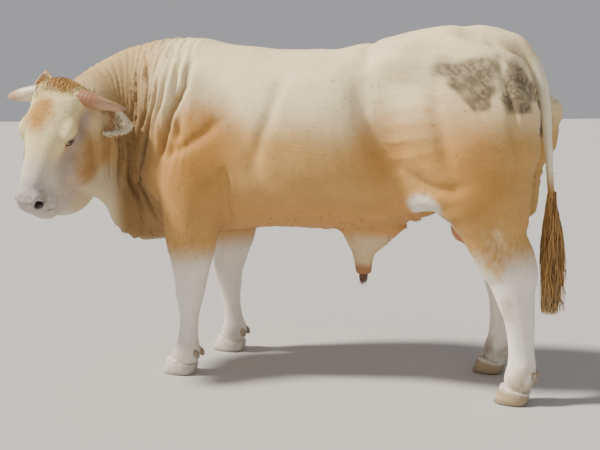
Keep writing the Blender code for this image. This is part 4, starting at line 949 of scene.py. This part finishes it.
def hair(name, roots, ways, normals, length, width, thick, lift, sag, colour, sides, stations, wave, seed,
         tips=1.08, map_places=None):
    """Tapered locks as one closed mesh, with a patch each on the bake map.

    A lock leaves its root at an angle `lift` over `ways` and bends back by `sag` towards the hide, as the
    square of the way along it, with a sideways wave. Its section is an ellipse that narrows to its tip."""
    rng = np.random.default_rng(seed)
    n = len(roots)
    length, width, thick = (np.broadcast_to(v, n)[:, None, None] for v in (length, width, thick))
    lift = np.broadcast_to(lift, n)[:, None]
    flat = unit(ways - (ways * normals).sum(1, keepdims=True) * normals)
    leave = unit(flat * np.cos(lift) + normals * np.sin(lift))
    across = unit(np.cross(normals, leave))
    t = np.linspace(0, 1, stations)[None, :, None]
    phase = rng.uniform(0, 2 * math.pi, (n, 1, 1))
    swing = wave * (np.sin(t * 7.0 + phase) - np.sin(phase)) * t
    bend = t * leave[:, None] - sag * t * t * normals[:, None] + swing * across[:, None]
    path = roots[:, None] + length * bend
    taper = (1 - t) ** 0.7 * (0.75 + 0.9 * t) + 0.03
    turn = 2 * math.pi * np.arange(sides) / sides
    ring = (np.cos(turn)[None, None, :, None] * (0.5 * width * taper)[:, :, None] * across[:, None, None]
            + np.sin(turn)[None, None, :, None] * (0.5 * thick * taper)[:, :, None] * normals[:, None, None])
    points = (path[:, :, None] + ring).reshape(-1, 3)
    one = grid_faces(stations, sides)
    step = stations * sides
    starts = np.arange(n)[:, None, None] * step
    faces = (one[None] + starts).reshape(-1, 4).tolist()
    ends = np.stack([np.arange(sides)[::-1], (stations - 1) * sides + np.arange(sides)])
    faces += (ends[None] + starts).reshape(-1, sides).tolist()
    shade = rng.uniform(0.88, 1.10, (n, 1, 1)) * (0.94 + (tips - 0.94) * t)
    hue = np.repeat(colour[:, None] * shade, sides, axis=1).reshape(-1, 3)
    obj = put(name, points, faces, hue)
    places = unwrap(roots) if map_places is None else map_places
    patch = np.stack(np.broadcast_arrays(np.arange(sides) / sides, t[0]), -1)
    spots = (places[:, None] + BAKE_PATCH * patch.reshape(1, -1, 2)).reshape(-1, 2)
    corners = np.zeros(len(obj.data.loops), np.int64)
    obj.data.loops.foreach_get("vertex_index", corners)
    obj.data.uv_layers.new(name="OFBake").data.foreach_set("uv", spots[corners].ravel().astype(np.float32))
    return obj


def scattered(points, triangles, density, rng):
    """Random places on a mesh, so many to a square metre, and the normals there."""
    crossed = face_normals(points, triangles)
    area = 0.5 * np.linalg.norm(crossed, axis=1)
    wanted = area * density(points[triangles].mean(1))
    count = int(wanted.sum())
    picked = rng.choice(len(triangles), count, p=wanted / wanted.sum())
    a, b = rng.random((2, count, 1))
    over = a + b > 1
    a, b = np.where(over, 1 - a, a), np.where(over, 1 - b, b)
    corner = points[triangles[picked]]
    places = corner[:, 0] + a * (corner[:, 1] - corner[:, 0]) + b * (corner[:, 2] - corner[:, 0])
    return places, unit(crossed[picked])


def lie(points):
    """The way the coat lies: back and down on the body, down the legs, and from the poll down the face."""
    p = np.asarray(points, float)
    way = np.tile((1.0, 0.0, -0.45), (len(p), 1))
    down = smooth(0.95, 0.60, p[:, 2])[:, None]
    way = way * (1 - down) + np.array((0.15, 0, -1.0)) * down
    h = head_places(p)
    face = HEAD_AXES[:, 0] + np.clip(h[:, 1:2] * 4, -0.7, 0.7) * HEAD_AXES[:, 1]
    share = in_head(p)[:, None]
    return unit(way * (1 - share) + face * share)


# Materials

class Wire:
    """One output of a shader node. Arithmetic on it adds Math nodes."""

    def __init__(self, paint, socket):
        self.paint, self.socket = paint, socket

    def maths(self, operation, *values):
        return self.paint.node("ShaderNodeMath", {"operation": operation}, dict(enumerate(values)))

    def __add__(self, other):
        return self.maths("ADD", self, other)

    __radd__ = __add__

    def __sub__(self, other):
        return self.maths("SUBTRACT", self, other)

    def __rsub__(self, other):
        return self.maths("SUBTRACT", other, self)

    def __mul__(self, other):
        return self.maths("MULTIPLY", self, other)

    __rmul__ = __mul__


class Paint:
    """A material and its nodes."""

    def __init__(self, name, **fixed):
        self.material = bpy.data.materials.new(name)
        self.material.use_nodes = True
        self.tree = self.material.node_tree
        self.shader = self.tree.nodes["Principled BSDF"]
        for socket, value in fixed.items():
            self.shader.inputs[socket.replace("_", " ")].default_value = value

    def node(self, kind, settings=None, inputs=None, output=0):
        """A node of this type, with its settings, and the values or links of its sockets by name or place."""
        made = self.tree.nodes.new(kind)
        for key, value in (settings or {}).items():
            setattr(made, key, value)
        for key, value in (inputs or {}).items():
            self.feed(made.inputs[key], value)
        return Wire(self, made.outputs[output])

    def feed(self, socket, value):
        """Link a wire to a socket, or set its value."""
        if isinstance(value, Wire):
            self.tree.links.new(value.socket, socket)
        else:
            socket.default_value = value

    def set(self, **values):
        """What feeds the shader's sockets."""
        for name, value in values.items():
            self.feed(self.shader.inputs[name.replace("_", " ")], value)

    def attribute(self, name, output):
        return self.node("ShaderNodeAttribute", {"attribute_name": name}, output=output)

    def where(self):
        """Object coordinates."""
        return self.node("ShaderNodeTexCoord", output="Object")

    def place(self, scale):
        """Object coordinates, stretched by a scale along each axis."""
        return self.node("ShaderNodeVectorMath", {"operation": "MULTIPLY"}, {0: self.where(), 1: scale})

    def noise(self, place, scale, detail=3.0, rough=0.55):
        inputs = {"Vector": place, "Scale": scale, "Detail": detail, "Roughness": rough}
        return self.node("ShaderNodeTexNoise", None, inputs)

    def mix(self, share, a, b, blend="MIX"):
        """Colours a and b mixed, or blended another way, by a share."""
        settings = {"data_type": "RGBA", "blend_type": blend}
        return self.node("ShaderNodeMix", settings, {0: share, 6: a, 7: b}, 2)

    def tinted(self, hue, shade):
        """A colour made lighter or darker by a number."""
        tone = self.node("ShaderNodeCombineColor", None, {0: shade, 1: shade, 2: shade})
        return self.mix(1.0, hue, tone, "MULTIPLY")

    def grade(self, value, low, high, to_low=0.0, to_high=1.0):
        """A value carried from one range to another, and held inside it."""
        inputs = {"Value": value, "From Min": low, "From Max": high, "To Min": to_low, "To Max": to_high}
        return self.node("ShaderNodeMapRange", None, inputs)

    def bump(self, height, strength, distance):
        inputs = {"Strength": strength, "Distance": distance, "Height": height}
        return self.node("ShaderNodeBump", None, inputs)


def hide_paint():
    """Short hair over skin: strands that run back on the body and down the legs, and pebbled bare skin."""
    paint = Paint("hide", Roughness=0.72, Sheen_Weight=0.06, Sheen_Roughness=0.45, Specular_IOR_Level=0.30)
    hue = paint.attribute("Hide", "Color")
    bare = paint.attribute("Bare", "Fac")
    where = paint.where()
    height = paint.node("ShaderNodeSeparateXYZ", None, {0: where}, 2)
    legs = paint.grade(height, 0.95, 0.60)
    back = paint.noise(paint.place((48.0, 150.0, 130.0)), 1.0, 4.0, 0.6)
    down = paint.noise(paint.place((150.0, 150.0, 26.0)), 1.0, 4.0, 0.6)
    strands = back * (1 - legs) + down * legs
    fine = paint.noise(where, 420.0, 2.0)
    patches = paint.noise(where, 9.0, 3.0)
    shade = paint.grade(strands, 0.30, 0.72, 0.91, 1.06) * paint.grade(patches, 0.3, 0.7, 0.95, 1.05)
    shaded = paint.tinted(hue, shade)
    edges = {"feature": "DISTANCE_TO_EDGE"}
    pebbles = paint.node("ShaderNodeTexVoronoi", edges, {"Vector": where, "Scale": 190.0})
    furrows = paint.grade(pebbles, 0.0, 0.10)
    coat_height = (strands + fine * 0.25) * (1 - bare)
    paint.set(Base_Color=paint.mix(bare, shaded, hue),
              Roughness=paint.grade(bare, 0.0, 1.0, 0.74, 0.46) + (fine - 0.5) * 0.12,
              Normal=paint.bump(coat_height + furrows * bare * 0.35, 0.40, 0.003))
    return paint.material


def hair_paint(name, roughness, sheen):
    """Locks and tufts, in the hide's own colours, with fine strands."""
    paint = Paint(name, Roughness=roughness, Sheen_Weight=sheen, Specular_IOR_Level=0.35)
    hue = paint.attribute("Hide", "Color")
    strands = paint.noise(paint.place((1.0, 1.0, 0.25)), 600.0, 3.0)
    shade = paint.grade(strands, 0.3, 0.7, 0.86, 1.10)
    paint.set(Base_Color=paint.tinted(hue, shade), Normal=paint.bump(strands, 0.35, 0.0012))
    return paint.material


def horn_paint():
    """Pale horn, streaked along its length, a little glossy."""
    paint = Paint("horn", Roughness=0.42, Coat_Weight=0.12)
    hue = paint.attribute("Hide", "Color")
    where = paint.where()
    grain = paint.noise(where, 260.0, 4.0)
    shade = paint.grade(grain, 0.3, 0.7, 0.85, 1.08)
    paint.set(Base_Color=paint.tinted(hue, shade),
              Roughness=paint.grade(grain, 0.3, 0.7, 0.36, 0.55),
              Normal=paint.bump(grain, 0.25, 0.0015))
    return paint.material


def claw_paint():
    """Hoof horn: growth rings across, fine cracks down, and dry soil towards the sole."""
    paint = Paint("claw", Roughness=0.6)
    hue = paint.attribute("Hide", "Color")
    where = paint.where()
    rings = paint.noise(paint.place((8.0, 8.0, 260.0)), 1.0, 2.0)
    cracks = paint.noise(paint.place((320.0, 320.0, 20.0)), 1.0, 3.0)
    dust = paint.noise(where, 45.0, 5.0, 0.7)
    shade = paint.grade(rings, 0.3, 0.7, 0.8, 1.1) * paint.grade(cracks, 0.3, 0.7, 0.9, 1.05)
    horn = paint.tinted(hue, shade)
    paint.set(Base_Color=paint.mix(paint.grade(dust, 0.48, 0.66, 0.0, 0.55), horn, (0.36, 0.29, 0.21, 1)),
              Roughness=paint.grade(dust, 0.4, 0.65, 0.5, 0.85),
              Normal=paint.bump(rings + cracks * 0.5, 0.5, 0.002))
    return paint.material


def eye_paint():
    """A wet, dark brown eye."""
    paint = Paint("eye", Roughness=0.06, Coat_Weight=0.8, Coat_Roughness=0.03)
    hue = paint.attribute("Hide", "Color")
    where = paint.where()
    fleck = paint.grade(paint.noise(where, 500.0, 3.0), 0.3, 0.7, 0.7, 1.2)
    paint.set(Base_Color=paint.tinted(hue, fleck))
    return paint.material


# Pieces

def make_hide(material):
    """The hide: the zero of the body's distance, finer on the head and finest on the face, with its folds."""
    def neck_side(p):
        return (p[:, 0] < -0.52) & (p[:, 2] > 0.62) & (p[:, 1] < 0.06) & (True)

    forms = trunk_forms() + neck_forms()
    for name in LEGS:
        forms += leg_forms(name)
    body = Body(forms + small_forms() + head_forms() + face_details())
    points, quads = surface(body, (-1.42, -0.93, 0.0), (1.05, 0.45, 1.60), SKIN_STEP)
    faces = quads.tolist()
    points = body.settle(points, 1)
    points, faces = refine(points, faces, lambda p: (in_head(p) > 0.3) | neck_side(p))
    points = body.settle(points, 1)

    def face_region(p):
        h = head_places(p)
        eye = np.linalg.norm((one_side(h) - np.array(EYE)) / (0.055, 0.045, 0.04), axis=1) < 1
        return eye | ((h[:, 0] > 0.37) & (h[:, 2] > -0.24))

    points, faces = refine(points, faces, face_region)
    points = body.settle(points, 2)
    triangles = triangles_of(faces)
    if (points[triangles[:, 0]] * face_normals(points, triangles)).sum() < 0:
        faces = [face[::-1] for face in faces]
        triangles = triangles[:, ::-1]
    normals = point_normals(points, triangles)
    points = points - normals * fold_depth(points, normals)[:, None]
    normals = point_normals(points, triangles)
    obj = put("hide", points, faces, hide_colour(points), bare_skin(points))
    nodes = ["head", "neck", "torso", "sheath", "scrotum", "tail"]
    for leg in LEGS:
        nodes += [f"{leg}_cannon", f"{leg}_forearm" if leg.startswith("fore") else f"{leg}_thigh"]
    finish(obj, material, "blond_coat", *nodes)
    return points, triangles


def side_name(s):
    """The bull's own left for 1 and its right for -1, as in the names of the nodes."""
    return "left" if s > 0 else "right"


def make_horn(s, material):
    """A horn: a circle carried along a bow, its radius falling as 1 - t^2.2, with rings at the root."""
    root, tip = np.array(HORN_ROOT), np.array(HORN_TIP)
    t = np.linspace(0, 1, 60)
    bow = np.sin(math.pi * t)
    local = root + t[:, None] * (tip - root) + np.column_stack([0.016 * bow, 0 * t, 0.020 * bow])
    local[:, 1] *= s
    path = np.asarray(HEAD_PLACE) + HEAD_SCALE * local @ HEAD_AXES.T
    rings = 0.0004 * np.sin(t * 75) * smooth(0.55, 0.20, t)
    radius = HORN_RADIUS * np.clip(1 - t**2.2, 0, 1) ** 0.95 * 0.99 + 0.0012 + rings
    radius[-6:] *= np.sqrt(np.linspace(1, 0.05, 6))
    tangent, high = path_axes(path, HEAD_AXES[:, 2])
    across = np.cross(high, tangent)
    columns = 28
    turn = 2 * math.pi * np.arange(columns) / columns
    ring = np.cos(turn)[None, :, None] * across[:, None] + np.sin(turn)[None, :, None] * high[:, None]
    points, faces = closed_rings(path[:, None] + radius[:, None, None] * ring)
    pink, grey = (0.80, 0.66, 0.46), (0.45, 0.36, 0.29)
    # the left horn's colours are darker than the right's: painted shade
    if s > 0:
        pink, grey = (0.44, 0.205, 0.105), (0.24, 0.175, 0.13)
    colour = mixed(pink, (0.55, 0.34, 0.19), smooth(0.25, 0.6, t))
    colour = mixed(colour, grey, smooth(0.72, 1.0, t))
    name = side_name(s)
    obj = put(f"horn_{name}_shell", points, faces, along_rings(colour, columns))
    finish(obj, material, "horn", f"horn_{name}")


def ear_rings(s, rows, columns):
    """The rings of an ear and the way it opens.

    Round a ring, cos(turn) runs across the leaf and its square dips the cup, so that the rings close round
    its two rims; along it the half width follows a leaf's outline, and the root is a full oval."""
    place, way, open_way = EARS[s]
    root, way, open_way = on_head(*place), head_way(*way), head_way(*open_way)
    open_way = unit(open_way - (open_way @ way) * way)
    across = np.cross(way, open_way)
    t = np.sin(np.linspace(0, 0.5 * math.pi, rows))
    leaf = np.sin(math.pi * np.minimum(1.0, 0.12 + 0.88 * t**1.15)) ** 0.6
    half = 0.022 * (1 - t) ** 2 + 0.5 * EAR_WIDTH * leaf * np.minimum(1, 0.3 + 2.2 * t)
    half = np.maximum(half, 0.002) * 0.985
    depth = 0.55 * half
    cup = np.clip((t - 0.12) / 0.25, 0, 1) * (1 - t**10)
    turn = 2 * math.pi * np.arange(columns) / columns
    c, d = np.cos(turn)[None], np.sin(turn)[None]
    wall = -depth[:, None] * (1 - c**2) + 0.5 * EAR_WALL * d
    full = np.where(d > 0, 0.45, 1.0) * depth[:, None] * d
    rise = wall * cup[:, None] + full * (1 - cup[:, None])
    ripple = 0.0015 * np.sin(5 * turn + 1)[None] * smooth(0.3, 0.6, t)[:, None]
    centre = root + EAR_LENGTH * (t - 0.10)[:, None] * way - (0.006 * np.sin(math.pi * t))[:, None] * across
    leaf_ring = (half[:, None] * c)[:, :, None] * across + (rise + ripple)[:, :, None] * open_way
    return centre[:, None] + leaf_ring, t, turn, way, open_way, across


def make_ear(s, material, hair_material, rng):
    """A cupped ear, pink inside and cream outside with a white rim, and the long hair that fills it."""
    rows, columns = 44, 40
    rings, t, turn, way, open_way, across = ear_rings(s, rows, columns)
    points, faces = closed_rings(rings)
    inside = smooth(0.0, 0.25, np.sin(turn))[None] * smooth(0.15, 0.35, t)[:, None]
    rim = smooth(0.80, 0.97, np.abs(np.cos(turn)))[None] * np.ones((rows, 1))
    grid = mixed((0.80, 0.66, 0.42), (0.52, 0.30, 0.15), inside * 0.9)
    grid = mixed(grid, (0.88, 0.84, 0.76), np.maximum(rim, smooth(0.86, 0.97, t)[:, None]))
    flat = grid.reshape(-1, 3)
    colour = np.vstack([flat, grid[0].mean(0), grid[-1].mean(0)])
    bare = np.concatenate([(inside * 0.5 * (1 - rim)).ravel(), [0, 0]])
    name = side_name(s)
    obj = put(f"ear_{name}_leaf", points, faces, colour, bare)
    finish(obj, material, "cream_coat", f"ear_{name}")
    near_tip = (0.25, 0.98)
    fringe = (0.020, 0.034), 0.0060, 0.9, -0.9, (0.82, 0.69, 0.45), (0.88, 0.80, 0.62)
    # count, share of rows and of a ring, length, width, rise over the opening, way across, and two hues
    sets = (
        ("inner", 420, (0.14, 0.60), (0.03, 0.47), (0.016, 0.030), 0.0050, 0.9, 0.5, (0.42, 0.23, 0.08),
         (0.66, 0.45, 0.21)),
        ("fill", 640, (0.40, 0.95), (0.02, 0.48), (0.026, 0.042), 0.0062, 1.0, -0.5, (0.80, 0.66, 0.42),
         (0.88, 0.79, 0.60)),
        ("rim", 420, near_tip, (-0.04, 0.05), *fringe),
        ("far_rim", 420, near_tip, (0.45, 0.54), *fringe),
        ("back", 560, (0.10, 0.97), (0.52, 0.98), (0.012, 0.020), 0.0040, 0.12, 0.1, (0.70, 0.56, 0.34),
         (0.84, 0.76, 0.58)))
    for k, (part, full, along, ring, long, wide, lean, inward, low_hue, high_hue) in enumerate(sets):
        count = full
        if s < 0:
            long, low_hue, high_hue = (0.008, 0.013), (0.66, 0.42, 0.20), (0.82, 0.66, 0.42)
        i = (rows * rng.uniform(*along, count)).astype(int)
        j = (columns * rng.uniform(*ring, count)).astype(int) % columns
        around = turn[j][:, None]
        normals = np.tile(open_way, (count, 1))
        if part == "back":
            normals = unit(np.sin(around) * open_way + 0.5 * np.cos(around) * across)
        ways = 0.7 * way + inward * np.cos(around) * across + 0.3 * rng.normal(size=(count, 3)) - (0, 0, 0.45)
        hue = mixed(low_hue, high_hue, rng.random(count))
        spots = np.stack([0.03 + 0.19 * k + 0.16 * i / rows, 0.05 + 0.9 * j / columns], 1)
        length = rng.uniform(*long, count)
        rise = lean * rng.uniform(0.5, 1.1, count)
        roots = rings[i, j] - 0.001 * normals
        obj = hair(f"ear_{name}_{part}", roots, ways, normals, length, wide, 0.35 * wide, rise, sag=0.45,
                   colour=hue, sides=3, stations=4, wave=0.05, seed=60 + s + 10 * k, map_places=spots)
        finish(obj, hair_material, "cream_coat")


def make_eye(s, material):
    """The ball of an eye: rings about its gaze, the clear front raised a little, and a wide dark pupil."""
    centre = on_head(EYE[0], s * EYE[1], EYE[2])
    gaze, slit, up = eye_axes(s)
    turn = np.linspace(0.02, math.pi - 0.02, 28)
    around = 2 * math.pi * np.arange(36) / 36
    radius = (EYE_RADIUS - 0.0004) * (1 + 0.03 * smooth(0.75, 0.35, turn))
    circle = np.cos(around)[None, :, None] * slit + np.sin(around)[None, :, None] * up
    rings = np.cos(turn)[:, None, None] * gaze + np.sin(turn)[:, None, None] * circle
    points, faces = closed_rings(centre + radius[:, None, None] * rings)
    local = unit(points - centre)
    wide, tall = local @ slit, local @ up
    front = (local @ gaze > 0).astype(float)
    iris = smooth(0.72, 0.66, np.hypot(wide, tall)) * front
    pupil = smooth(1.0, 0.85, np.hypot(wide / 0.42, tall / 0.24)) * front
    colour = mixed((0.55, 0.42, 0.36), (0.075, 0.038, 0.022), iris)
    colour = mixed(colour, (0.008, 0.007, 0.008), pupil)
    name = side_name(s)
    obj = put(f"eye_{name}_ball", points, faces, colour)
    finish(obj, material, "eye", f"eye_{name}")


def make_claw(leg, s, which, material):
    """Half a foot: a D-shaped ring widened from the coronet down to a flat sole, with growth ridges."""
    middle = np.asarray(LEGS[leg][3], float)
    t = np.concatenate([np.linspace(0, 0.96, 26), [0.985, 1.0]])
    toe = TOE[leg[:4]] * (0.70 + 0.30 * t)
    heel = HEEL[leg[:4]] * (0.86 + 0.14 * t) - 0.022 * t
    width = CLAW_WIDTH * (0.92 + 0.12 * np.sin(0.9 * math.pi * t) - 0.10 * smooth(0.94, 1.0, t))
    ridge = 1 + 0.010 * np.sin(t * 38) * smooth(1.0, 0.8, t)
    angle = np.linspace(0, math.pi, 30)
    forward = np.cos(angle)[None]
    reach = np.where(forward > 0, toe[:, None], heel[:, None])
    x = -reach * forward * ridge[:, None]
    y = CLEFT + (width * ridge)[:, None] * np.sin(angle)[None] ** 0.75
    inner = np.linspace(0.85, -0.85, 9)[None]
    x = np.hstack([x, np.where(inner > 0, heel[:, None], toe[:, None]) * inner])
    y = np.hstack([y, CLEFT + 0 * inner * t[:, None]])
    rise = (1 - t)[:, None] * (CORONET - 0.0003 - CORONET_SLOPE * x)
    rings = np.stack([x, s * y, np.maximum(rise, 0.0)], -1) + middle
    points, faces = closed_rings(rings)
    base = (0.66, 0.61, 0.53) if leg.startswith("fore") else (0.44, 0.32, 0.19)
    colour = mixed(base, (0.74, 0.68, 0.58), smooth(0.25, 0.0, t))
    colour = mixed(colour, 0.62 * np.array(base), smooth(0.6, 1.0, t))
    obj = put(f"{leg}_claw_{which}_wall", points, faces, along_rings(colour, rings.shape[1]))
    finish(obj, material, "hoof", f"{leg}_claw_{which}")


def make_dewclaws(material):
    """Two small horn knobs behind each fetlock: half ellipsoids, with rings."""
    all_points, all_faces, hues = [], [], []
    turn = np.linspace(0.05, math.pi - 0.05, 12)
    around = 2 * math.pi * np.arange(16) / 16
    for joints in LEGS.values():
        fetlock = np.asarray(joints[2])
        for s in (-1, 1):
            centre = fetlock + (0.054, s * 0.026, -0.022)
            ring = np.stack([np.broadcast_to(np.cos(turn)[:, None] * 0.017, (12, 16)),
                             np.sin(turn)[:, None] * np.cos(around) * 0.012,
                             np.sin(turn)[:, None] * np.sin(around) * 0.019], -1)
            ring[..., 2] -= 0.5 * ring[..., 0]
            points, faces = closed_rings(centre + ring)
            start = sum(len(p) for p in all_points)
            all_points.append(points)
            all_faces += [[i + start for i in face] for face in faces]
            hues.append(np.tile((0.36, 0.28, 0.20), (len(points), 1)))
    obj = put("dewclaws", np.vstack(all_points), all_faces, np.vstack(hues))
    finish(obj, material, "hoof")


def make_switch(material, rng):
    """The golden switch: a bowed core, widest at its middle, and wavy locks that hang from it to a point."""
    top, tip = np.array(TAIL_PATH[-1], float), np.array(SWITCH_TIP)
    count = 1100
    t = rng.random(count) ** 1.2 * 0.80 - 0.06
    down = np.clip(t, 0, 1)
    around = rng.uniform(0, 2 * math.pi, count)
    outward = np.stack([np.cos(around), 0.62 * np.sin(around), 0 * around], 1)
    core = 0.017 + 0.027 * np.sin(math.pi * np.minimum(1, 1.1 * down)) - 0.022 * down**3
    reach = core * np.sqrt(rng.uniform(0.05, 1.0, count))
    roots = top + t[:, None] * (tip - top) + reach[:, None] * outward
    roots[:, 0] += SWITCH_BOW * np.sin(math.pi * down**1.13)
    long = np.minimum((1 - t) * (top[2] - tip[2]), rng.uniform(0.12, 0.25, count))
    ways = np.tile((-0.02, 0.0, -1.0), (count, 1)) + 0.06 * rng.normal(size=(count, 3))
    hue = mixed(SWITCH_GOLD, (0.70, 0.50, 0.26), smooth(0.55, 0.95, t + 0.2 * rng.random(count)))
    hue = hue * rng.uniform(0.55, 1.35, (count, 1))
    side = rng.random(count) < 0.05
    ways[side & (t > 0.45)] += (0.55, 0.0, 0.0)
    spots = np.stack([0.05 + 0.9 * around / (2 * math.pi), 0.05 + 0.9 * np.clip(t + 0.06, 0, 1)], 1)
    width = rng.uniform(0.005, 0.012, count)
    lift = rng.uniform(0.04, 0.20, count)
    obj = hair("tail_switch_locks", roots, ways, outward, long, width, thick=0.0042, lift=lift, sag=0.13,
               colour=hue, sides=4, stations=8, wave=0.060, seed=71, tips=1.15, map_places=spots)
    finish(obj, material, "switch", "tail_switch")


def make_coats(points, triangles, coat, rng):
    """Tufts over the hide: short ones that break the body's outline, and longer ones on the poll."""
    few = 1.0

    sunk = 0.0015

    def add(name, slot, density, length, width, lift, sag, stations, wave, seed):
        roots, normals = scattered(points, triangles, lambda p: few * density(p), rng)
        hue = hide_colour(roots)
        n = len(roots)
        ways = lie(roots) + 0.16 * rng.normal(size=(n, 3))
        size = rng.uniform(0.75, 1.25, n)
        shape = length(roots) * size
        rise = lift * rng.uniform(0.5, 1.5, n)
        obj = hair(name, roots - sunk * normals, ways, normals, shape, width * size, 0.4 * width * size,
                   rise, sag, hue, sides=3, stations=stations, wave=wave, seed=seed, tips=1.04)
        finish(obj, coat, slot)

    def not_bare(p):
        return 1 - smooth(0.2, 0.6, bare_skin(p))

    def body_density(p):
        top = smooth(1.30, 1.42, p[:, 2])
        low = smooth(0.80, 0.68, p[:, 2])
        return (1 - in_head(p)) * not_bare(p) * smooth(0.52, 0.60, p[:, 2]) * (1500 + 1200 * top + 1800 * low)

    def body_length(p):
        return 0.016 + 0.006 * smooth(0.85, 0.70, p[:, 2])

    add("coat_body", "blond_coat", body_density, body_length,
        width=0.0042, lift=0.20, sag=0.16, stations=3, wave=0.02, seed=81)

    def leg_density(p):
        z = p[:, 2]
        return (z > 0.055) * smooth(0.60, 0.52, z) * (3200 + 5200 * smooth(0.17, 0.08, z)) * not_bare(p)

    def leg_length(p):
        return 0.011 + 0.010 * smooth(0.17, 0.09, p[:, 2])

    add("coat_legs", "white_coat", leg_density, leg_length,
        width=0.0034, lift=0.20, sag=0.16, stations=3, wave=0.02, seed=82)

    def poll_density(p):
        h = head_places(p)
        crown = smooth(0.16, 0.02, h[:, 0]) * smooth(-0.10, -0.04, h[:, 2])
        crown = crown * smooth(0.115, 0.085, np.abs(h[:, 1]))
        return in_head(p) * crown * 60000

    def poll_length(p):
        h = head_places(p)
        return 0.014 + 0.010 * smooth(0.06, -0.02, h[:, 0])

    add("coat_poll", "cream_coat", poll_density, poll_length,
        width=0.0036, lift=0.24, sag=0.22, stations=5, wave=0.05, seed=83)

    def face_density(p):
        h = head_places(p)
        front = 5000 * smooth(0.34, 0.20, h[:, 0]) * smooth(-0.10, -0.05, h[:, 2])
        much = 2600 + front + 2500 * smooth(0.20, 0.05, h[:, 0])
        return in_head(p) * not_bare(p) * much * smooth(0.44, 0.38, h[:, 0])

    def face_length(p):
        h = head_places(p)
        return 0.008 + 0.008 * smooth(0.33, 0.22, h[:, 0])

    add("coat_face", "cream_coat", face_density, face_length,
        width=0.0032, lift=0.18, sag=0.14, stations=3, wave=0.03, seed=84)


def make_sheath_tuft(material, rng):
    """Dark locks that hang from the sheath's opening."""
    count = 120
    around = rng.uniform(0, 2 * math.pi, count)
    outward = np.stack([np.cos(around), np.sin(around), 0 * around], 1)
    root = np.array(SHEATH[-1][:3]) + (0, 0, 0.010)
    roots = root + outward * rng.uniform(0.006, 0.017, (count, 1))
    ways = np.tile((0.0, 0.0, -1.0), (count, 1)) + 0.10 * rng.normal(size=(count, 3))
    hue = np.tile((0.20, 0.095, 0.045), (count, 1)) * rng.uniform(0.7, 1.4, (count, 1))
    length = rng.uniform(0.045, 0.080, count)
    lift = rng.uniform(0.05, 0.25, count)
    spots = np.stack([0.05 + 0.9 * around / (2 * math.pi), rng.uniform(0.05, 0.95, count)], 1)
    obj = hair("sheath_tuft", roots, ways, outward, length, width=0.0048, thick=0.002, lift=lift, sag=0.22,
               colour=hue, sides=3, stations=6, wave=0.05, seed=91, map_places=spots)
    finish(obj, material, "blond_coat")


# Stage

def make_stage():
    """A pale floor, a soft key that grazes the flank from the head's side, a weak fill, and the camera."""
    mesh = bpy.data.meshes.new("floor")
    mesh.from_pydata([(-30, -30, 0), (30, -30, 0), (30, 30, 0), (-30, 30, 0)], [], [(0, 1, 2, 3)])
    floor = bpy.data.objects.new("floor", mesh)
    bpy.context.scene.collection.objects.link(floor)
    paint = Paint("floor", Base_Color=(0.48, 0.47, 0.455, 1), Roughness=0.9)
    mesh.materials.append(paint.material)
    world = bpy.data.worlds.new("studio")
    bpy.context.scene.world = world
    world.use_nodes = True
    world.node_tree.nodes["Background"].inputs["Color"].default_value = (0.95, 0.96, 1.0, 1)
    world.node_tree.nodes["Background"].inputs["Strength"].default_value = 0.40
    lights = (  # name, kind, place, target, width or angle, power, colour
        ("key", "SUN", (-3.3, -1.15, 3.9), (0, 0, 0.2), 0.12, 7.0, (1.0, 0.94, 0.84)),
        ("fill", "AREA", (2.6, -4.4, 1.8), (0, 0, 0.8), 3.5, 30, (0.95, 0.97, 1.0)))
    for name, kind, place, target, width, power, colour in lights:
        lamp = bpy.data.lights.new(name, kind)
        lamp.energy, lamp.color = power, colour
        if kind == "SUN":
            lamp.angle = width
        else:
            lamp.size = width
        obj = bpy.data.objects.new(name, lamp)
        bpy.context.scene.collection.objects.link(obj)
        back = unit(np.array(place) - np.array(target))
        side = unit(np.cross((0, 0, 1), back))
        obj.matrix_world = pose_matrix(side, np.cross(back, side), back, np.array(place) + SHIFT)
    level = math.cos(CAMERA_PITCH)
    ahead = np.array([-math.sin(CAMERA_YAW) * level, math.cos(CAMERA_YAW) * level, math.sin(CAMERA_PITCH)])
    right = np.array([math.cos(CAMERA_YAW), math.sin(CAMERA_YAW), 0.0])
    up = np.cross(right, ahead)
    c, s = math.cos(CAMERA_ROLL), math.sin(CAMERA_ROLL)
    data = bpy.data.cameras.new("camera")
    data.lens, data.sensor_width = LENS, 36.0
    camera = bpy.data.objects.new("camera", data)
    bpy.context.scene.collection.objects.link(camera)
    place = np.array(CAMERA_PLACE) + SHIFT
    camera.matrix_world = pose_matrix(right * c + up * s, up * c - right * s, -ahead, place)
    bpy.context.scene.camera = camera


def pose_matrix(x, y, z, place):
    """A matrix with these three axes and place."""
    rows = np.eye(4)
    rows[:3, 0], rows[:3, 1], rows[:3, 2], rows[:3, 3] = x, y, z, place
    return Matrix(rows.tolist())


def main():
    rng = np.random.default_rng(17)
    hide, horn, claw, eye = hide_paint(), horn_paint(), claw_paint(), eye_paint()
    coat, golden = hair_paint("coat", 0.62, 0.15), hair_paint("switch", 0.50, 0.10)
    points, triangles = make_hide(hide)
    for s in (1, -1):
        make_horn(s, horn)
        make_ear(s, hide, coat, rng)
        make_eye(s, eye)
    for leg in LEGS:
        for s, which in ((-1, "a"), (1, "b")):
            make_claw(leg, s, which, claw)
    make_dewclaws(claw)
    make_switch(golden, rng)
    make_sheath_tuft(coat, rng)
    make_coats(points, triangles, coat, rng)
    make_stage()


main()
